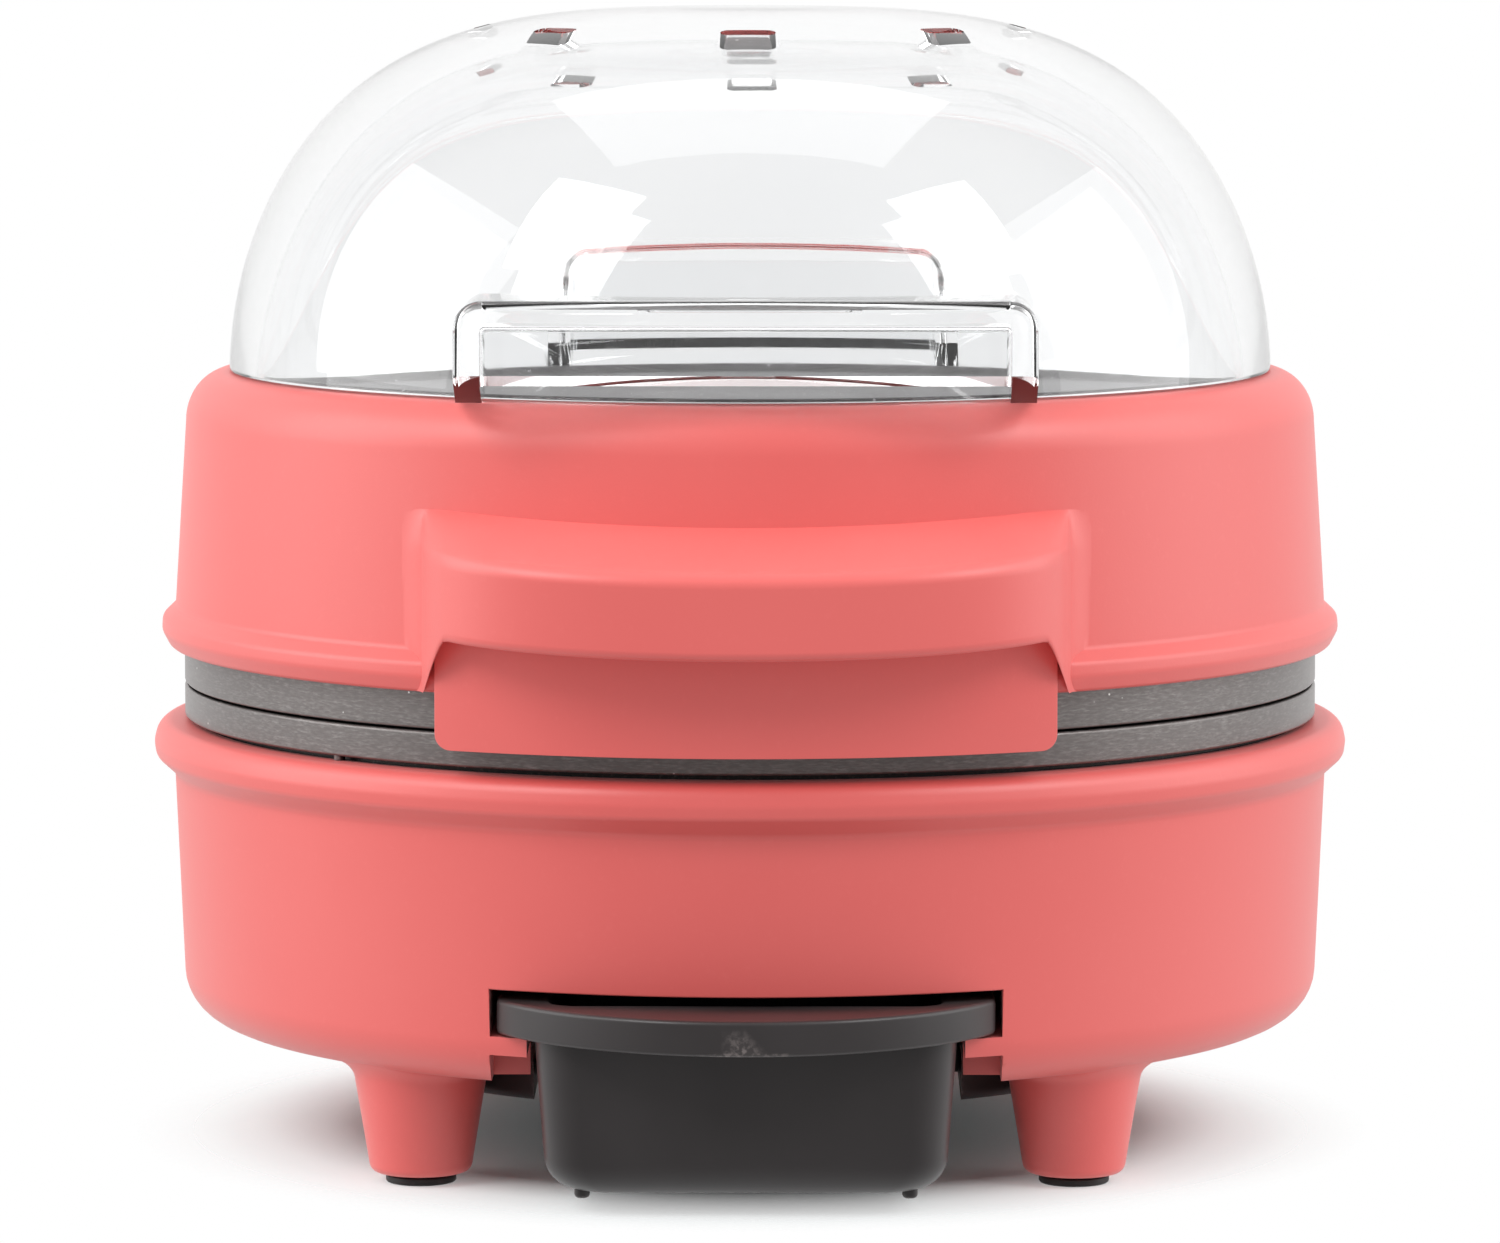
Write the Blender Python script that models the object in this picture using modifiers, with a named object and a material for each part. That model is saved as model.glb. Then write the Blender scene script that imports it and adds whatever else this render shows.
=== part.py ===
# Electric burger maker: a round two-plate cooker with a hinged lid, a clear dome and a drip tray.
# Metres, +Z up. The body's axis is the world Z axis, the front looks towards -Y, and the pads stand on Z = 0.
import math

import bmesh
import bpy
from mathutils import Matrix, Vector

MM = 0.001

# Shared allowances
GAP = 0.3 * MM
BODY_MARGIN = 0.6 * MM
OVERRUN = 4.0 * MM
WELD = 0.00001
ROUND_STEPS = 36
SMALL_STEPS = 10
BEAD_STEPS = 4
SMOOTH_ANGLE = math.radians(35)

# Cooking plates, whose radius the whole body follows
PLATE_RADIUS = 69.1 * MM
PLATE_RIM_WIDTH = 10.6 * MM
PLATE_WALL = 3.0 * MM
CAVITY_DRAFT = 1.8 * MM
CAVITY_DEPTH = 11.8 * MM
LOWER_FLANGE = 3.85 * MM
UPPER_FLANGE = 5.2 * MM
SPIGOT_DEPTH = 2.0 * MM
RIDGE_COUNT = 7
RIDGE_PITCH_SHARE = 0.222
RIDGE_WIDTH = 2.4 * MM
RIDGE_HEIGHT = 1.1 * MM
RIDGE_END_SPACE = 4.0 * MM
PLATE_BOSS_RADIUS = 4.0 * MM
DRAIN_RADIUS = 3.0 * MM
DRAIN_EDGE_SPACE = 4.7 * MM
CAVITY_RADIUS = PLATE_RADIUS - PLATE_RIM_WIDTH
PLATE_BODY_RADIUS = CAVITY_RADIUS + PLATE_WALL
DRAIN_Y = -(CAVITY_RADIUS - CAVITY_DRAFT - DRAIN_RADIUS - DRAIN_EDGE_SPACE)

# Plate posts and screws
POST_RADIUS = 4.5 * MM
POST_EDGE_SPACE = 2.0 * MM
POST_CIRCLE = PLATE_BODY_RADIUS - POST_RADIUS - POST_EDGE_SPACE
POST_ANGLES = tuple(math.radians(a) for a in (60, 120, 208, 332))
LID_POST_ANGLES = tuple(math.radians(a) for a in (30, 150, 270))
SCREW_RADIUS = 1.5 * MM
SCREW_HEAD_RADIUS = 2.8 * MM
SCREW_HEAD = 2.0 * MM
SCREW_GRIP = 4.0 * MM
SCREW_SEAT = 4.5 * MM

# Heating elements, reflectors and thermostats
ELEMENT_RADIUS = 3.1 * MM
ELEMENT_RING_SHARE = 0.598
ELEMENT_GAP_ANGLE = math.radians(50)
ELEMENT_POINTS = 20
ELEMENT_LEG_DROP = 7.5 * MM
ELEMENT_LEG_RUN = 6.0 * MM
ELEMENT_BEND = 5.6 * MM
REFLECTOR_INSET = 1.5 * MM
REFLECTOR_SHEET = 0.8 * MM
REFLECTOR_RIM = 2.2 * MM
THERMOSTAT_RADIUS = 8.0 * MM
THERMOSTAT_FLANGE_RADIUS = 10.0 * MM
THERMOSTAT_FLANGE = 1.2 * MM
FUSE_RADIUS = 1.9 * MM
FUSE_LENGTH = 13.0 * MM
FUSE_PLACE_SHARE = 0.571
ELEMENT_RING_RADIUS = CAVITY_RADIUS * ELEMENT_RING_SHARE
REFLECTOR_RADIUS = PLATE_BODY_RADIUS - REFLECTOR_INSET
FUSE_X = ELEMENT_RING_RADIUS * FUSE_PLACE_SHARE

# Base housing
BASE_BOTTOM_Z = 14.3 * MM
BASE_WALL = 2.4 * MM
BASE_RIM_STEP = 1.25 * MM
BASE_TAPER = 1.3 * MM
BASE_FILLET = 6.0 * MM
BASE_BEAD = 2.5 * MM
BASE_BEAD_DROP = 2.4 * MM
BASE_BEAD_DEPTH = 6.2 * MM
PLATE_LEDGE_WIDTH = 2.3 * MM
PLATE_LEDGE_DEPTH = 1.8 * MM
BASE_HIGH_RADIUS = PLATE_RADIUS + BASE_RIM_STEP
BASE_LOW_RADIUS = BASE_HIGH_RADIUS - BASE_TAPER
BASE_BEAD_RADIUS = BASE_HIGH_RADIUS + BASE_BEAD
BASE_BORE = BASE_HIGH_RADIUS - BASE_WALL - BODY_MARGIN
BASE_FLOOR_Z = BASE_BOTTOM_Z + BASE_WALL

# Overall reach to the front and to the rear of the axis
HINGE_STANDOFF = 9.15 * MM
REACH = BASE_BEAD_RADIUS + HINGE_STANDOFF

# Tray bay in the base
BAY_HALF_WIDTH_SHARE = 0.4269
BAY_BACK_SHARE = 0.275
BAY_WALL = 2.0 * MM
BAY_HEIGHT = 6.6 * MM
RAIL_RISE = 6.1 * MM
RAIL_WIDTH = 4.3 * MM
RAIL_THICKNESS = 2.2 * MM
THROAT_SPACE = 3.5 * MM
BAY_HALF_WIDTH = PLATE_RADIUS * BAY_HALF_WIDTH_SHARE
BAY_SLOT_HALF_WIDTH = BAY_HALF_WIDTH - RAIL_WIDTH
BAY_BACK_Y = -PLATE_RADIUS * BAY_BACK_SHARE
RAIL_TOP_Z = BASE_BOTTOM_Z + RAIL_RISE
BAY_TOP_Z = RAIL_TOP_Z + BAY_HEIGHT

# Heights from the bay's roof up to the parting plane between the plates
WIRING_SPACE = 3.55 * MM
BASE_POST_TOP_Z = BAY_TOP_Z + BAY_WALL + WIRING_SPACE
BASE_SCREW_SEAT_Z = BASE_POST_TOP_Z - SCREW_SEAT
LOWER_REFLECTOR_TOP_Z = BASE_POST_TOP_Z + GAP + REFLECTOR_SHEET
LOWER_ELEMENT_Z = LOWER_REFLECTOR_TOP_Z + GAP + ELEMENT_RADIUS
LOWER_PLATE_BACK_Z = LOWER_ELEMENT_Z + ELEMENT_RADIUS + GAP
LOWER_PLATE_TOP_Z = LOWER_PLATE_BACK_Z + PLATE_WALL + CAVITY_DEPTH
LOWER_FLANGE_Z = LOWER_PLATE_TOP_Z - LOWER_FLANGE
LEDGE_TOP_Z = LOWER_FLANGE_Z - SPIGOT_DEPTH - GAP
BASE_TOP_Z = LOWER_FLANGE_Z - BODY_MARGIN
PARTING_Z = LOWER_PLATE_TOP_Z + GAP / 2
UPPER_PLATE_BOTTOM_Z = PARTING_Z + GAP / 2
UPPER_FLANGE_Z = UPPER_PLATE_BOTTOM_Z + UPPER_FLANGE
UPPER_PLATE_BACK_Z = UPPER_PLATE_BOTTOM_Z + CAVITY_DEPTH + PLATE_WALL
UPPER_ELEMENT_Z = UPPER_PLATE_BACK_Z + GAP + ELEMENT_RADIUS
UPPER_REFLECTOR_BOTTOM_Z = UPPER_ELEMENT_Z + ELEMENT_RADIUS + GAP

# Legs and pads
LEG_TOP_RADIUS = 8.0 * MM
LEG_FOOT_RADIUS = 5.85 * MM
LEG_EDGE = 1.1 * MM
LEG_ROOT = 1.2 * MM
LEG_BAY_SPACE = 1.0 * MM
LEG_Y_SHARE = 0.6083
PAD_RADIUS = 4.15 * MM
PAD_THICKNESS = 0.9 * MM
PAD_STEM_RADIUS = 2.0 * MM
PAD_STEM_LENGTH = 3.0 * MM
LEG_X = BAY_HALF_WIDTH + LEG_TOP_RADIUS + LEG_BAY_SPACE
LEG_Y = BASE_LOW_RADIUS * LEG_Y_SHARE
LEG_FOOT_Z = PAD_THICKNESS + GAP

# Drip tray
TRAY_SETBACK = 1.6 * MM
TRAY_LIP_BOW_SHARE = 0.61
TRAY_LIP_THICKNESS = 4.1 * MM
TRAY_SIDE_CLEARANCE = 0.8 * MM
TRAY_BODY_DRAFT = 1.4 * MM
TRAY_BODY_OVERHANG = 0.95 * MM
TRAY_BOTTOM_Z = 2.6 * MM
TRAY_WALL = 1.9 * MM
TRAY_FLOOR = 1.8 * MM
TRAY_CORNER = 5.0 * MM
TRAY_LOWER_EDGE = 4.2 * MM
TRAY_NUB_RADIUS = 0.9 * MM
TRAY_NUB_SIDE = 5.5 * MM
TRAY_NUB_INSET = 7.0 * MM
TRAY_LIP_HALF_WIDTH = BAY_HALF_WIDTH - TRAY_SIDE_CLEARANCE
TRAY_BODY_HALF_WIDTH = BAY_SLOT_HALF_WIDTH - TRAY_SIDE_CLEARANCE
TRAY_FRONT_Y = -REACH + TRAY_SETBACK
TRAY_BODY_FRONT_Y = -BASE_LOW_RADIUS - TRAY_BODY_OVERHANG
TRAY_BACK_Y = BAY_BACK_Y - TRAY_SIDE_CLEARANCE
TRAY_LIP_BOTTOM_Z = RAIL_TOP_Z + GAP
TRAY_LIP_TOP_Z = TRAY_LIP_BOTTOM_Z + TRAY_LIP_THICKNESS

# Grease chute
CHUTE_BORE = 4.2 * MM
CHUTE_WALL = 1.0 * MM
CHUTE_FLARE = 3.0 * MM

# Bottom cover
COVER_POST_SPACE = 2.0 * MM
COVER_DEPTH = 4.9 * MM
COVER_SHEET = 1.8 * MM
COVER_EDGE = 1.0 * MM
COVER_SCREW_ANGLES = tuple(math.radians(a) for a in (90, 200, 340))
COVER_BOSS_RADIUS = 3.7 * MM
COVER_BOSS_HEIGHT = 7.3 * MM
VENT_COUNT = 5
VENT_PITCH = 7.0 * MM
VENT_WIDTH = 2.2 * MM
VENT_LENGTH = 26.0 * MM
VENT_PLACE_SHARE = 0.165
COVER_RADIUS = POST_CIRCLE - POST_RADIUS - COVER_POST_SPACE
COVER_SCREW_CIRCLE = COVER_RADIUS - COVER_BOSS_RADIUS - BODY_MARGIN
COVER_BOTTOM_Z = BASE_BOTTOM_Z - COVER_DEPTH
COVER_TOP_Z = BASE_BOTTOM_Z - GAP
COVER_FLOOR_Z = COVER_BOTTOM_Z + COVER_SHEET
COVER_BOSS_TOP_Z = BASE_FLOOR_Z + COVER_BOSS_HEIGHT
BASE_OPENING_RADIUS = COVER_SCREW_CIRCLE - COVER_BOSS_RADIUS - BODY_MARGIN
BAY_THROAT_Y = -COVER_RADIUS - THROAT_SPACE
VENT_Y = COVER_RADIUS * VENT_PLACE_SHARE

# Terminal block and cord bush
BLOCK_SIZE = (22.0 * MM, 10.0 * MM, 9.0 * MM)
BLOCK_PLACE_SHARE = 0.557
BUSH_RISE = 10.7 * MM
BUSH_NECK_RADIUS = 5.0 * MM
BUSH_FLANGE_RADIUS = 7.0 * MM
BUSH_FLANGE = 2.2 * MM
BUSH_BORE = 3.2 * MM
BUSH_INNER_LENGTH = 4.0 * MM
BLOCK_Y = COVER_RADIUS * BLOCK_PLACE_SHARE
BUSH_Z = BASE_BOTTOM_Z + BUSH_RISE

# Hinge
HINGE_Z = PARTING_Z
KNUCKLE_RADIUS = 5.2 * MM
EAR_INNER_X = 20.0 * MM
EAR_WIDTH = 8.0 * MM
EAR_ARM_DEPTH = 6.8 * MM
EAR_ARM_DROP = 1.5 * MM
PIN_RADIUS = 2.5 * MM
PIN_CLEARANCE = 0.15 * MM
PIN_GRIP = 10.0 * MM
SLEEVE_BORE = 1.9 * MM
HINGE_Y = REACH - KNUCKLE_RADIUS
EAR_OUTER_X = EAR_INNER_X + EAR_WIDTH
KNUCKLE_END_X = EAR_INNER_X - GAP
EAR_ARM_ROOT_Z = BASE_TOP_Z - EAR_ARM_DEPTH

# Wiring
WIRE_RADIUS = 1.1 * MM
LEAD_RADIUS = 1.0 * MM
WIRE_BORE_CLEARANCE = 0.9 * MM
BEND_STEPS = 4
WIRE_BEND = 2.5 * MM
LEAD_RISE = 4.0 * MM

# Lid housing
LID_LAP = 0.75 * MM
LID_RIM_STEP = 1.0 * MM
LID_TAPER = 1.35 * MM
LID_BEAD = 1.73 * MM
LID_BEAD_DEPTH = 4.9 * MM
LID_BEAD_RISE = 1.9 * MM
LID_SHOULDER_WIDTH = 5.0 * MM
LID_SHOULDER_DEPTH = 6.0 * MM
LID_WALL = 2.5 * MM
LID_POST_LENGTH = 9.15 * MM
LID_DECK = 2.2 * MM
LID_DECK_DEPTH = 3.6 * MM
LID_ARM_RISE = 3.1 * MM
LID_BOTTOM_Z = UPPER_FLANGE_Z - LID_LAP
LID_BEAD_MID_Z = LID_BOTTOM_Z + LID_BEAD_RISE
LID_BEAD_TOP_Z = LID_BOTTOM_Z + LID_BEAD_DEPTH
LID_LOW_RADIUS = PLATE_RADIUS + LID_RIM_STEP
LID_HIGH_RADIUS = LID_LOW_RADIUS - LID_TAPER
LID_BEAD_RADIUS = LID_LOW_RADIUS + LID_BEAD
LID_SEAT_RADIUS = LID_HIGH_RADIUS - LID_SHOULDER_WIDTH
LID_POST_BOTTOM_Z = UPPER_REFLECTOR_BOTTOM_Z + REFLECTOR_SHEET + GAP
LID_SCREW_SEAT_Z = LID_POST_BOTTOM_Z + SCREW_SEAT
LID_DECK_BOTTOM_Z = LID_POST_BOTTOM_Z + LID_POST_LENGTH
LID_DECK_TOP_Z = LID_DECK_BOTTOM_Z + LID_DECK
LID_SEAT_Z = LID_DECK_TOP_Z + LID_DECK_DEPTH
LID_SHOULDER_Z = LID_SEAT_Z - LID_SHOULDER_DEPTH
LID_ARM_TOP_Z = LID_BEAD_TOP_Z + LID_ARM_RISE

# Lid front handle and skirt
HANDLE_HALF_WIDTH_SHARE = 0.544
HANDLE_ROOT_SHARE = 0.8436
HANDLE_POWER = 2.5
HANDLE_TOP_DROP = 7.4 * MM
HANDLE_SLOPE_DROP = 4.2 * MM
HANDLE_SLOPE_SETBACK = 3.8 * MM
HANDLE_BROW = 2.0 * MM
HANDLE_LIP_RISE = 0.8 * MM
HANDLE_LIP_EDGE = 1.2 * MM
HANDLE_WALL = 2.6 * MM
HANDLE_POCKET_RISE = 3.0 * MM
SKIRT_STANDOFF = 2.37 * MM
SKIRT_SIDE_SETBACK = 2.1 * MM
SKIRT_DROP = 1.5 * MM
SKIRT_THICKNESS = 2.9 * MM
SKIRT_CORNER = 1.6 * MM
HANDLE_HALF_WIDTH = LID_HIGH_RADIUS * HANDLE_HALF_WIDTH_SHARE
HANDLE_ROOT_Y = -LID_HIGH_RADIUS * HANDLE_ROOT_SHARE
HANDLE_TOP_Z = LID_SHOULDER_Z - HANDLE_TOP_DROP
HANDLE_SHOULDER_Y = -REACH + HANDLE_SLOPE_SETBACK
HANDLE_SHOULDER_Z = HANDLE_TOP_Z - HANDLE_SLOPE_DROP
HANDLE_LIP_Z = LID_BEAD_TOP_Z + HANDLE_LIP_RISE
SKIRT_RADIUS = LID_BEAD_RADIUS + SKIRT_STANDOFF
SKIRT_TOP_Z = HANDLE_LIP_Z + HANDLE_LIP_EDGE + BODY_MARGIN
SKIRT_BOTTOM_Z = PARTING_Z - SKIRT_DROP
SKIRT_HALF_WIDTH = HANDLE_HALF_WIDTH - SKIRT_SIDE_SETBACK

# Dome cover
DOME_EDGE_SETBACK = 0.33 * MM
DOME_HEIGHT = 43.8 * MM
DOME_SIDE_POWER = 3.476
DOME_TOP_POWER = 1.872
DOME_WALL = 3.1 * MM
DOME_CROWN = 3.8 * MM
DOME_STEPS = 10
STEAM_SLOT_COUNT = 8
STEAM_SLOT_CIRCLE_SHARE = 0.5125
STEAM_SLOT_LENGTH = 6.5 * MM
STEAM_SLOT_WIDTH = 2.0 * MM
GRIP_OVERHANG = 7.18 * MM
GRIP_ROOT_SHARE = 0.71
GRIP_WALL = 3.0 * MM
GRIP_CORNER = 3.0 * MM
GRIP_LIP_RISE = 3.6 * MM
GRIP_LIP_SETBACK = 8.0 * MM
FRONT_GRIP_SHARE = 0.5235
FRONT_GRIP_HEIGHT = 12.0 * MM
REAR_GRIP_SHARE = 0.4336
REAR_GRIP_HEIGHT = 16.2 * MM
DOME_RADIUS = LID_SEAT_RADIUS - DOME_EDGE_SETBACK
DOME_BASE_Z = LID_SEAT_Z + GAP
STEAM_SLOT_CIRCLE = DOME_RADIUS * STEAM_SLOT_CIRCLE_SHARE
GRIP_REACH = DOME_RADIUS + GRIP_OVERHANG
GRIP_ROOT = DOME_RADIUS * GRIP_ROOT_SHARE
FRONT_GRIP_HALF_WIDTH = DOME_RADIUS * FRONT_GRIP_SHARE
REAR_GRIP_HALF_WIDTH = DOME_RADIUS * REAR_GRIP_SHARE

# Warming plate, in the recess inside the dome's seat
WARMER_CLEARANCE = 0.5 * MM
WARMER_RISE = 3.1 * MM
WARMER_SHEET = 1.2 * MM
WARMER_RIM = 0.8 * MM
WARMER_BOSS_RADIUS = 2.6 * MM
WARMER_SCREW_SHARE = 0.743
WARMER_SCREW_ANGLES = tuple(math.radians(a) for a in (90, 210, 330))
WARMER_SCREW_LENGTH = 5.0 * MM
WARMER_SCREW_HEAD = 1.6 * MM
RECESS_RADIUS = DOME_RADIUS - DOME_WALL - BODY_MARGIN
WARMER_RADIUS = RECESS_RADIUS - WARMER_CLEARANCE
WARMER_SCREW_CIRCLE = WARMER_RADIUS * WARMER_SCREW_SHARE

part_collection = None
cutter_collection = None


def clear_scene():
    for obj in list(bpy.data.objects):
        bpy.data.objects.remove(obj, do_unlink=True)
    for mesh in list(bpy.data.meshes):
        bpy.data.meshes.remove(mesh)


def make_collections():
    global part_collection, cutter_collection
    part_collection = bpy.data.collections.new("electric_burger_maker")
    cutter_collection = bpy.data.collections.new("cutters")
    bpy.context.scene.collection.children.link(part_collection)
    bpy.context.scene.collection.children.link(cutter_collection)


def material(name, colour, roughness, metallic=0.0, transmission=0.0):
    made = bpy.data.materials.get(name)
    if made:
        return made
    made = bpy.data.materials.new(name)
    made.use_nodes = True
    shader = made.node_tree.nodes["Principled BSDF"]
    shader.inputs["Base Color"].default_value = (*colour, 1.0)
    shader.inputs["Roughness"].default_value = roughness
    shader.inputs["Metallic"].default_value = metallic
    shader.inputs["Transmission Weight"].default_value = transmission
    made.diffuse_color = (*colour, 1.0)
    return made


def coral():
    return material("coral_plastic", (0.90, 0.18, 0.15), 0.45)


def dark_plastic():
    return material("dark_plastic", (0.055, 0.045, 0.045), 0.4)


def cast_plate():
    return material("coated_cast_plate", (0.10, 0.095, 0.09), 0.45, 0.6)


def steel():
    return material("bright_steel", (0.55, 0.55, 0.56), 0.3, 1.0)


def tin():
    return material("reflector_sheet", (0.7, 0.7, 0.7), 0.25, 1.0)


def element_sheath():
    return material("element_sheath", (0.16, 0.14, 0.13), 0.5, 0.9)


def clear_plastic():
    return material("clear_plastic", (0.95, 0.96, 0.97), 0.05, 0.0, 0.9)


def rubber():
    return material("black_rubber", (0.02, 0.02, 0.02), 0.8)


def ceramic():
    return material("terminal_ceramic", (0.85, 0.83, 0.78), 0.5)


def sleeve_white():
    return material("wire_sleeve", (0.8, 0.78, 0.72), 0.6)


def place(obj, finish, cutter=False):
    if cutter:
        cutter_collection.objects.link(obj)
        obj.hide_render = True
        obj.display_type = 'WIRE'
        return obj
    part_collection.objects.link(obj)
    obj.data.materials.append(finish)
    return obj


def from_bmesh(name, bm, finish=None):
    mesh = bpy.data.meshes.new(name)
    bm.to_mesh(mesh)
    bm.free()
    return place(bpy.data.objects.new(name, mesh), finish, cutter=finish is None)


def turned(name, profile, closed, finish=None, steps=ROUND_STEPS):
    """Spin a profile of (radius, height) pairs round the Z axis."""
    count = len(profile)
    edges = [(i, i + 1) for i in range(count - 1)]
    if closed:
        edges.append((count - 1, 0))
    mesh = bpy.data.meshes.new(name)
    mesh.from_pydata([(r, 0.0, z) for r, z in profile], edges, [])
    obj = place(bpy.data.objects.new(name, mesh), finish, cutter=finish is None)
    screw = obj.modifiers.new("turn", 'SCREW')
    screw.axis = 'Z'
    screw.steps = steps
    screw.render_steps = steps
    screw.use_merge_vertices = True
    screw.merge_threshold = WELD
    screw.use_smooth_shade = False
    return obj


def box(name, low, high, finish=None):
    bm = bmesh.new()
    bmesh.ops.create_cube(bm, size=1.0)
    size = [h - l for l, h in zip(low, high)]
    centre = [(h + l) / 2 for l, h in zip(low, high)]
    bmesh.ops.scale(bm, vec=size, verts=bm.verts)
    bmesh.ops.translate(bm, vec=centre, verts=bm.verts)
    return from_bmesh(name, bm, finish)


def rod(name, radius, start, end, finish=None, steps=SMALL_STEPS):
    start, end = Vector(start), Vector(end)
    along = end - start
    bm = bmesh.new()
    bmesh.ops.create_cone(bm, cap_ends=True, segments=steps, radius1=radius, radius2=radius,
                          depth=along.length)
    turn = along.to_track_quat('Z', 'Y').to_matrix().to_4x4()
    bmesh.ops.transform(bm, matrix=Matrix.Translation((start + end) / 2) @ turn, verts=bm.verts)
    return from_bmesh(name, bm, finish)


def bore(name, radius, start, end, steps=SMALL_STEPS):
    """A cutter for a round hole whose flats lie at its radius."""
    return rod(name, radius / math.cos(math.pi / steps), start, end, None, steps)


def mesh_of_curve(name, curve, turn, finish=None):
    """Make a curve's solid a mesh, with its caps welded on."""
    guide = bpy.data.objects.new(name + "_outline", curve)
    guide.matrix_world = turn
    bpy.context.scene.collection.objects.link(guide)
    bpy.context.view_layer.update()
    seen = guide.evaluated_get(bpy.context.evaluated_depsgraph_get())
    mesh = bpy.data.meshes.new_from_object(seen)
    mesh.name = name
    bm = bmesh.new()
    bm.from_mesh(mesh)
    bmesh.ops.remove_doubles(bm, verts=bm.verts, dist=WELD)
    bmesh.ops.recalc_face_normals(bm, faces=bm.faces)
    bm.to_mesh(mesh)
    bm.free()
    mesh.materials.clear()
    made = place(bpy.data.objects.new(name, mesh), finish, cutter=finish is None)
    made.matrix_world = guide.matrix_world.copy()
    bpy.data.objects.remove(guide)
    bpy.data.curves.remove(curve)
    return made


def extruded(name, outline, half_thickness, plane, offset=0.0, finish=None):
    """A flat outline given thickness both ways. plane is 'XY', 'XZ' or 'YZ'; offset lies along its normal."""
    curve = bpy.data.curves.new(name, 'CURVE')
    curve.dimensions = '2D'
    curve.fill_mode = 'BOTH'
    curve.extrude = half_thickness
    spline = curve.splines.new('POLY')
    spline.points.add(len(outline) - 1)
    for point, (u, v) in zip(spline.points, outline):
        point.co = (u, v, 0.0, 1.0)
    spline.use_cyclic_u = True
    right_angle = math.pi / 2
    turns = {
        'XY': Matrix.Translation((0.0, 0.0, offset)),
        'XZ': Matrix.Translation((0.0, offset, 0.0)) @ Matrix.Rotation(right_angle, 4, 'X'),
        'YZ': (Matrix.Translation((offset, 0.0, 0.0)) @ Matrix.Rotation(right_angle, 4, 'Z')
               @ Matrix.Rotation(right_angle, 4, 'X')),
    }
    return mesh_of_curve(name, curve, turns[plane], finish)


def wire(name, route, radius, finish):
    """A round lead or rod along a route of points, with filled ends."""
    curve = bpy.data.curves.new(name, 'CURVE')
    curve.dimensions = '3D'
    curve.bevel_depth = radius
    curve.bevel_resolution = 2
    curve.use_fill_caps = True
    spline = curve.splines.new('POLY')
    spline.points.add(len(route) - 1)
    for point, place_ in zip(spline.points, route):
        point.co = (*place_, 1.0)
    return mesh_of_curve(name, curve, Matrix.Identity(4), finish)


def boolean(target, tool, operation):
    change = target.modifiers.new(operation.lower() + "_" + tool.name, 'BOOLEAN')
    change.operation = operation
    change.solver = 'EXACT'
    change.object = tool


def cut(target, *tools):
    for tool in tools:
        boolean(target, tool, 'DIFFERENCE')


def join(target, *tools):
    for tool in tools:
        boolean(target, tool, 'UNION')


def keep(target, *tools):
    for tool in tools:
        boolean(target, tool, 'INTERSECT')


def arc(centre, radius, start, end, steps):
    """Points on an arc, angles in degrees."""
    cu, cv = centre
    angles = [math.radians(start + (end - start) * i / steps) for i in range(steps + 1)]
    return [(cu + radius * math.cos(a), cv + radius * math.sin(a)) for a in angles]


def bead(wall_top, wall_bottom, radius, top_z, middle_z, bottom_z):
    """A rounded bead that swells from the wall to radius, from its top to its bottom."""
    points = []
    for i in range(BEAD_STEPS * 2 + 1):
        angle = math.pi / 2 - math.pi * i / (BEAD_STEPS * 2)
        wall = wall_top if angle > 0 else wall_bottom
        rise = top_z - middle_z if angle > 0 else middle_z - bottom_z
        points.append((wall + (radius - wall) * math.cos(angle), middle_z + rise * math.sin(angle)))
    return points


def around(radius, angle, z=0.0):
    return (radius * math.cos(angle), radius * math.sin(angle), z)


def soften(obj):
    """Round sides shade smooth and edges stay sharp, where the mesh holds its own faces."""
    if obj.data.polygons:
        obj.data.shade_smooth()
        obj.data.set_sharp_from_angle(angle=SMOOTH_ANGLE)


def pivot(name, location):
    empty = bpy.data.objects.new(name, None)
    empty.location = location
    empty.empty_display_size = KNUCKLE_RADIUS
    part_collection.objects.link(empty)
    return empty


def hang_on(parent, pieces):
    bpy.context.view_layer.update()
    for piece in pieces:
        piece.parent = parent
        piece.matrix_parent_inverse = parent.matrix_world.inverted()


def base_shell_profile():
    wall_foot = BASE_BOTTOM_Z + BASE_FILLET
    bead_bottom = BASE_TOP_Z - BASE_BEAD_DEPTH
    inner_low = BASE_LOW_RADIUS - BASE_WALL
    inner_fillet = BASE_FILLET - BASE_WALL
    ledge_inner = BASE_BORE - PLATE_LEDGE_WIDTH
    profile = [(BASE_BORE, BASE_TOP_Z)]
    profile += bead(BASE_HIGH_RADIUS, BASE_HIGH_RADIUS, BASE_BEAD_RADIUS, BASE_TOP_Z,
                    BASE_TOP_Z - BASE_BEAD_DROP, bead_bottom)
    profile += arc((BASE_LOW_RADIUS - BASE_FILLET, wall_foot), BASE_FILLET, 0, -90, BEAD_STEPS)
    profile += [
        (BASE_OPENING_RADIUS, BASE_BOTTOM_Z),
        (BASE_OPENING_RADIUS, BASE_FLOOR_Z),
        (inner_low - inner_fillet, BASE_FLOOR_Z),
        (inner_low, BASE_FLOOR_Z + inner_fillet),
        (BASE_BORE, LEDGE_TOP_Z - PLATE_LEDGE_DEPTH - PLATE_LEDGE_WIDTH),
        (ledge_inner, LEDGE_TOP_Z - PLATE_LEDGE_DEPTH),
        (ledge_inner, LEDGE_TOP_Z),
        (BASE_BORE, LEDGE_TOP_Z),
    ]
    return profile


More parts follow.
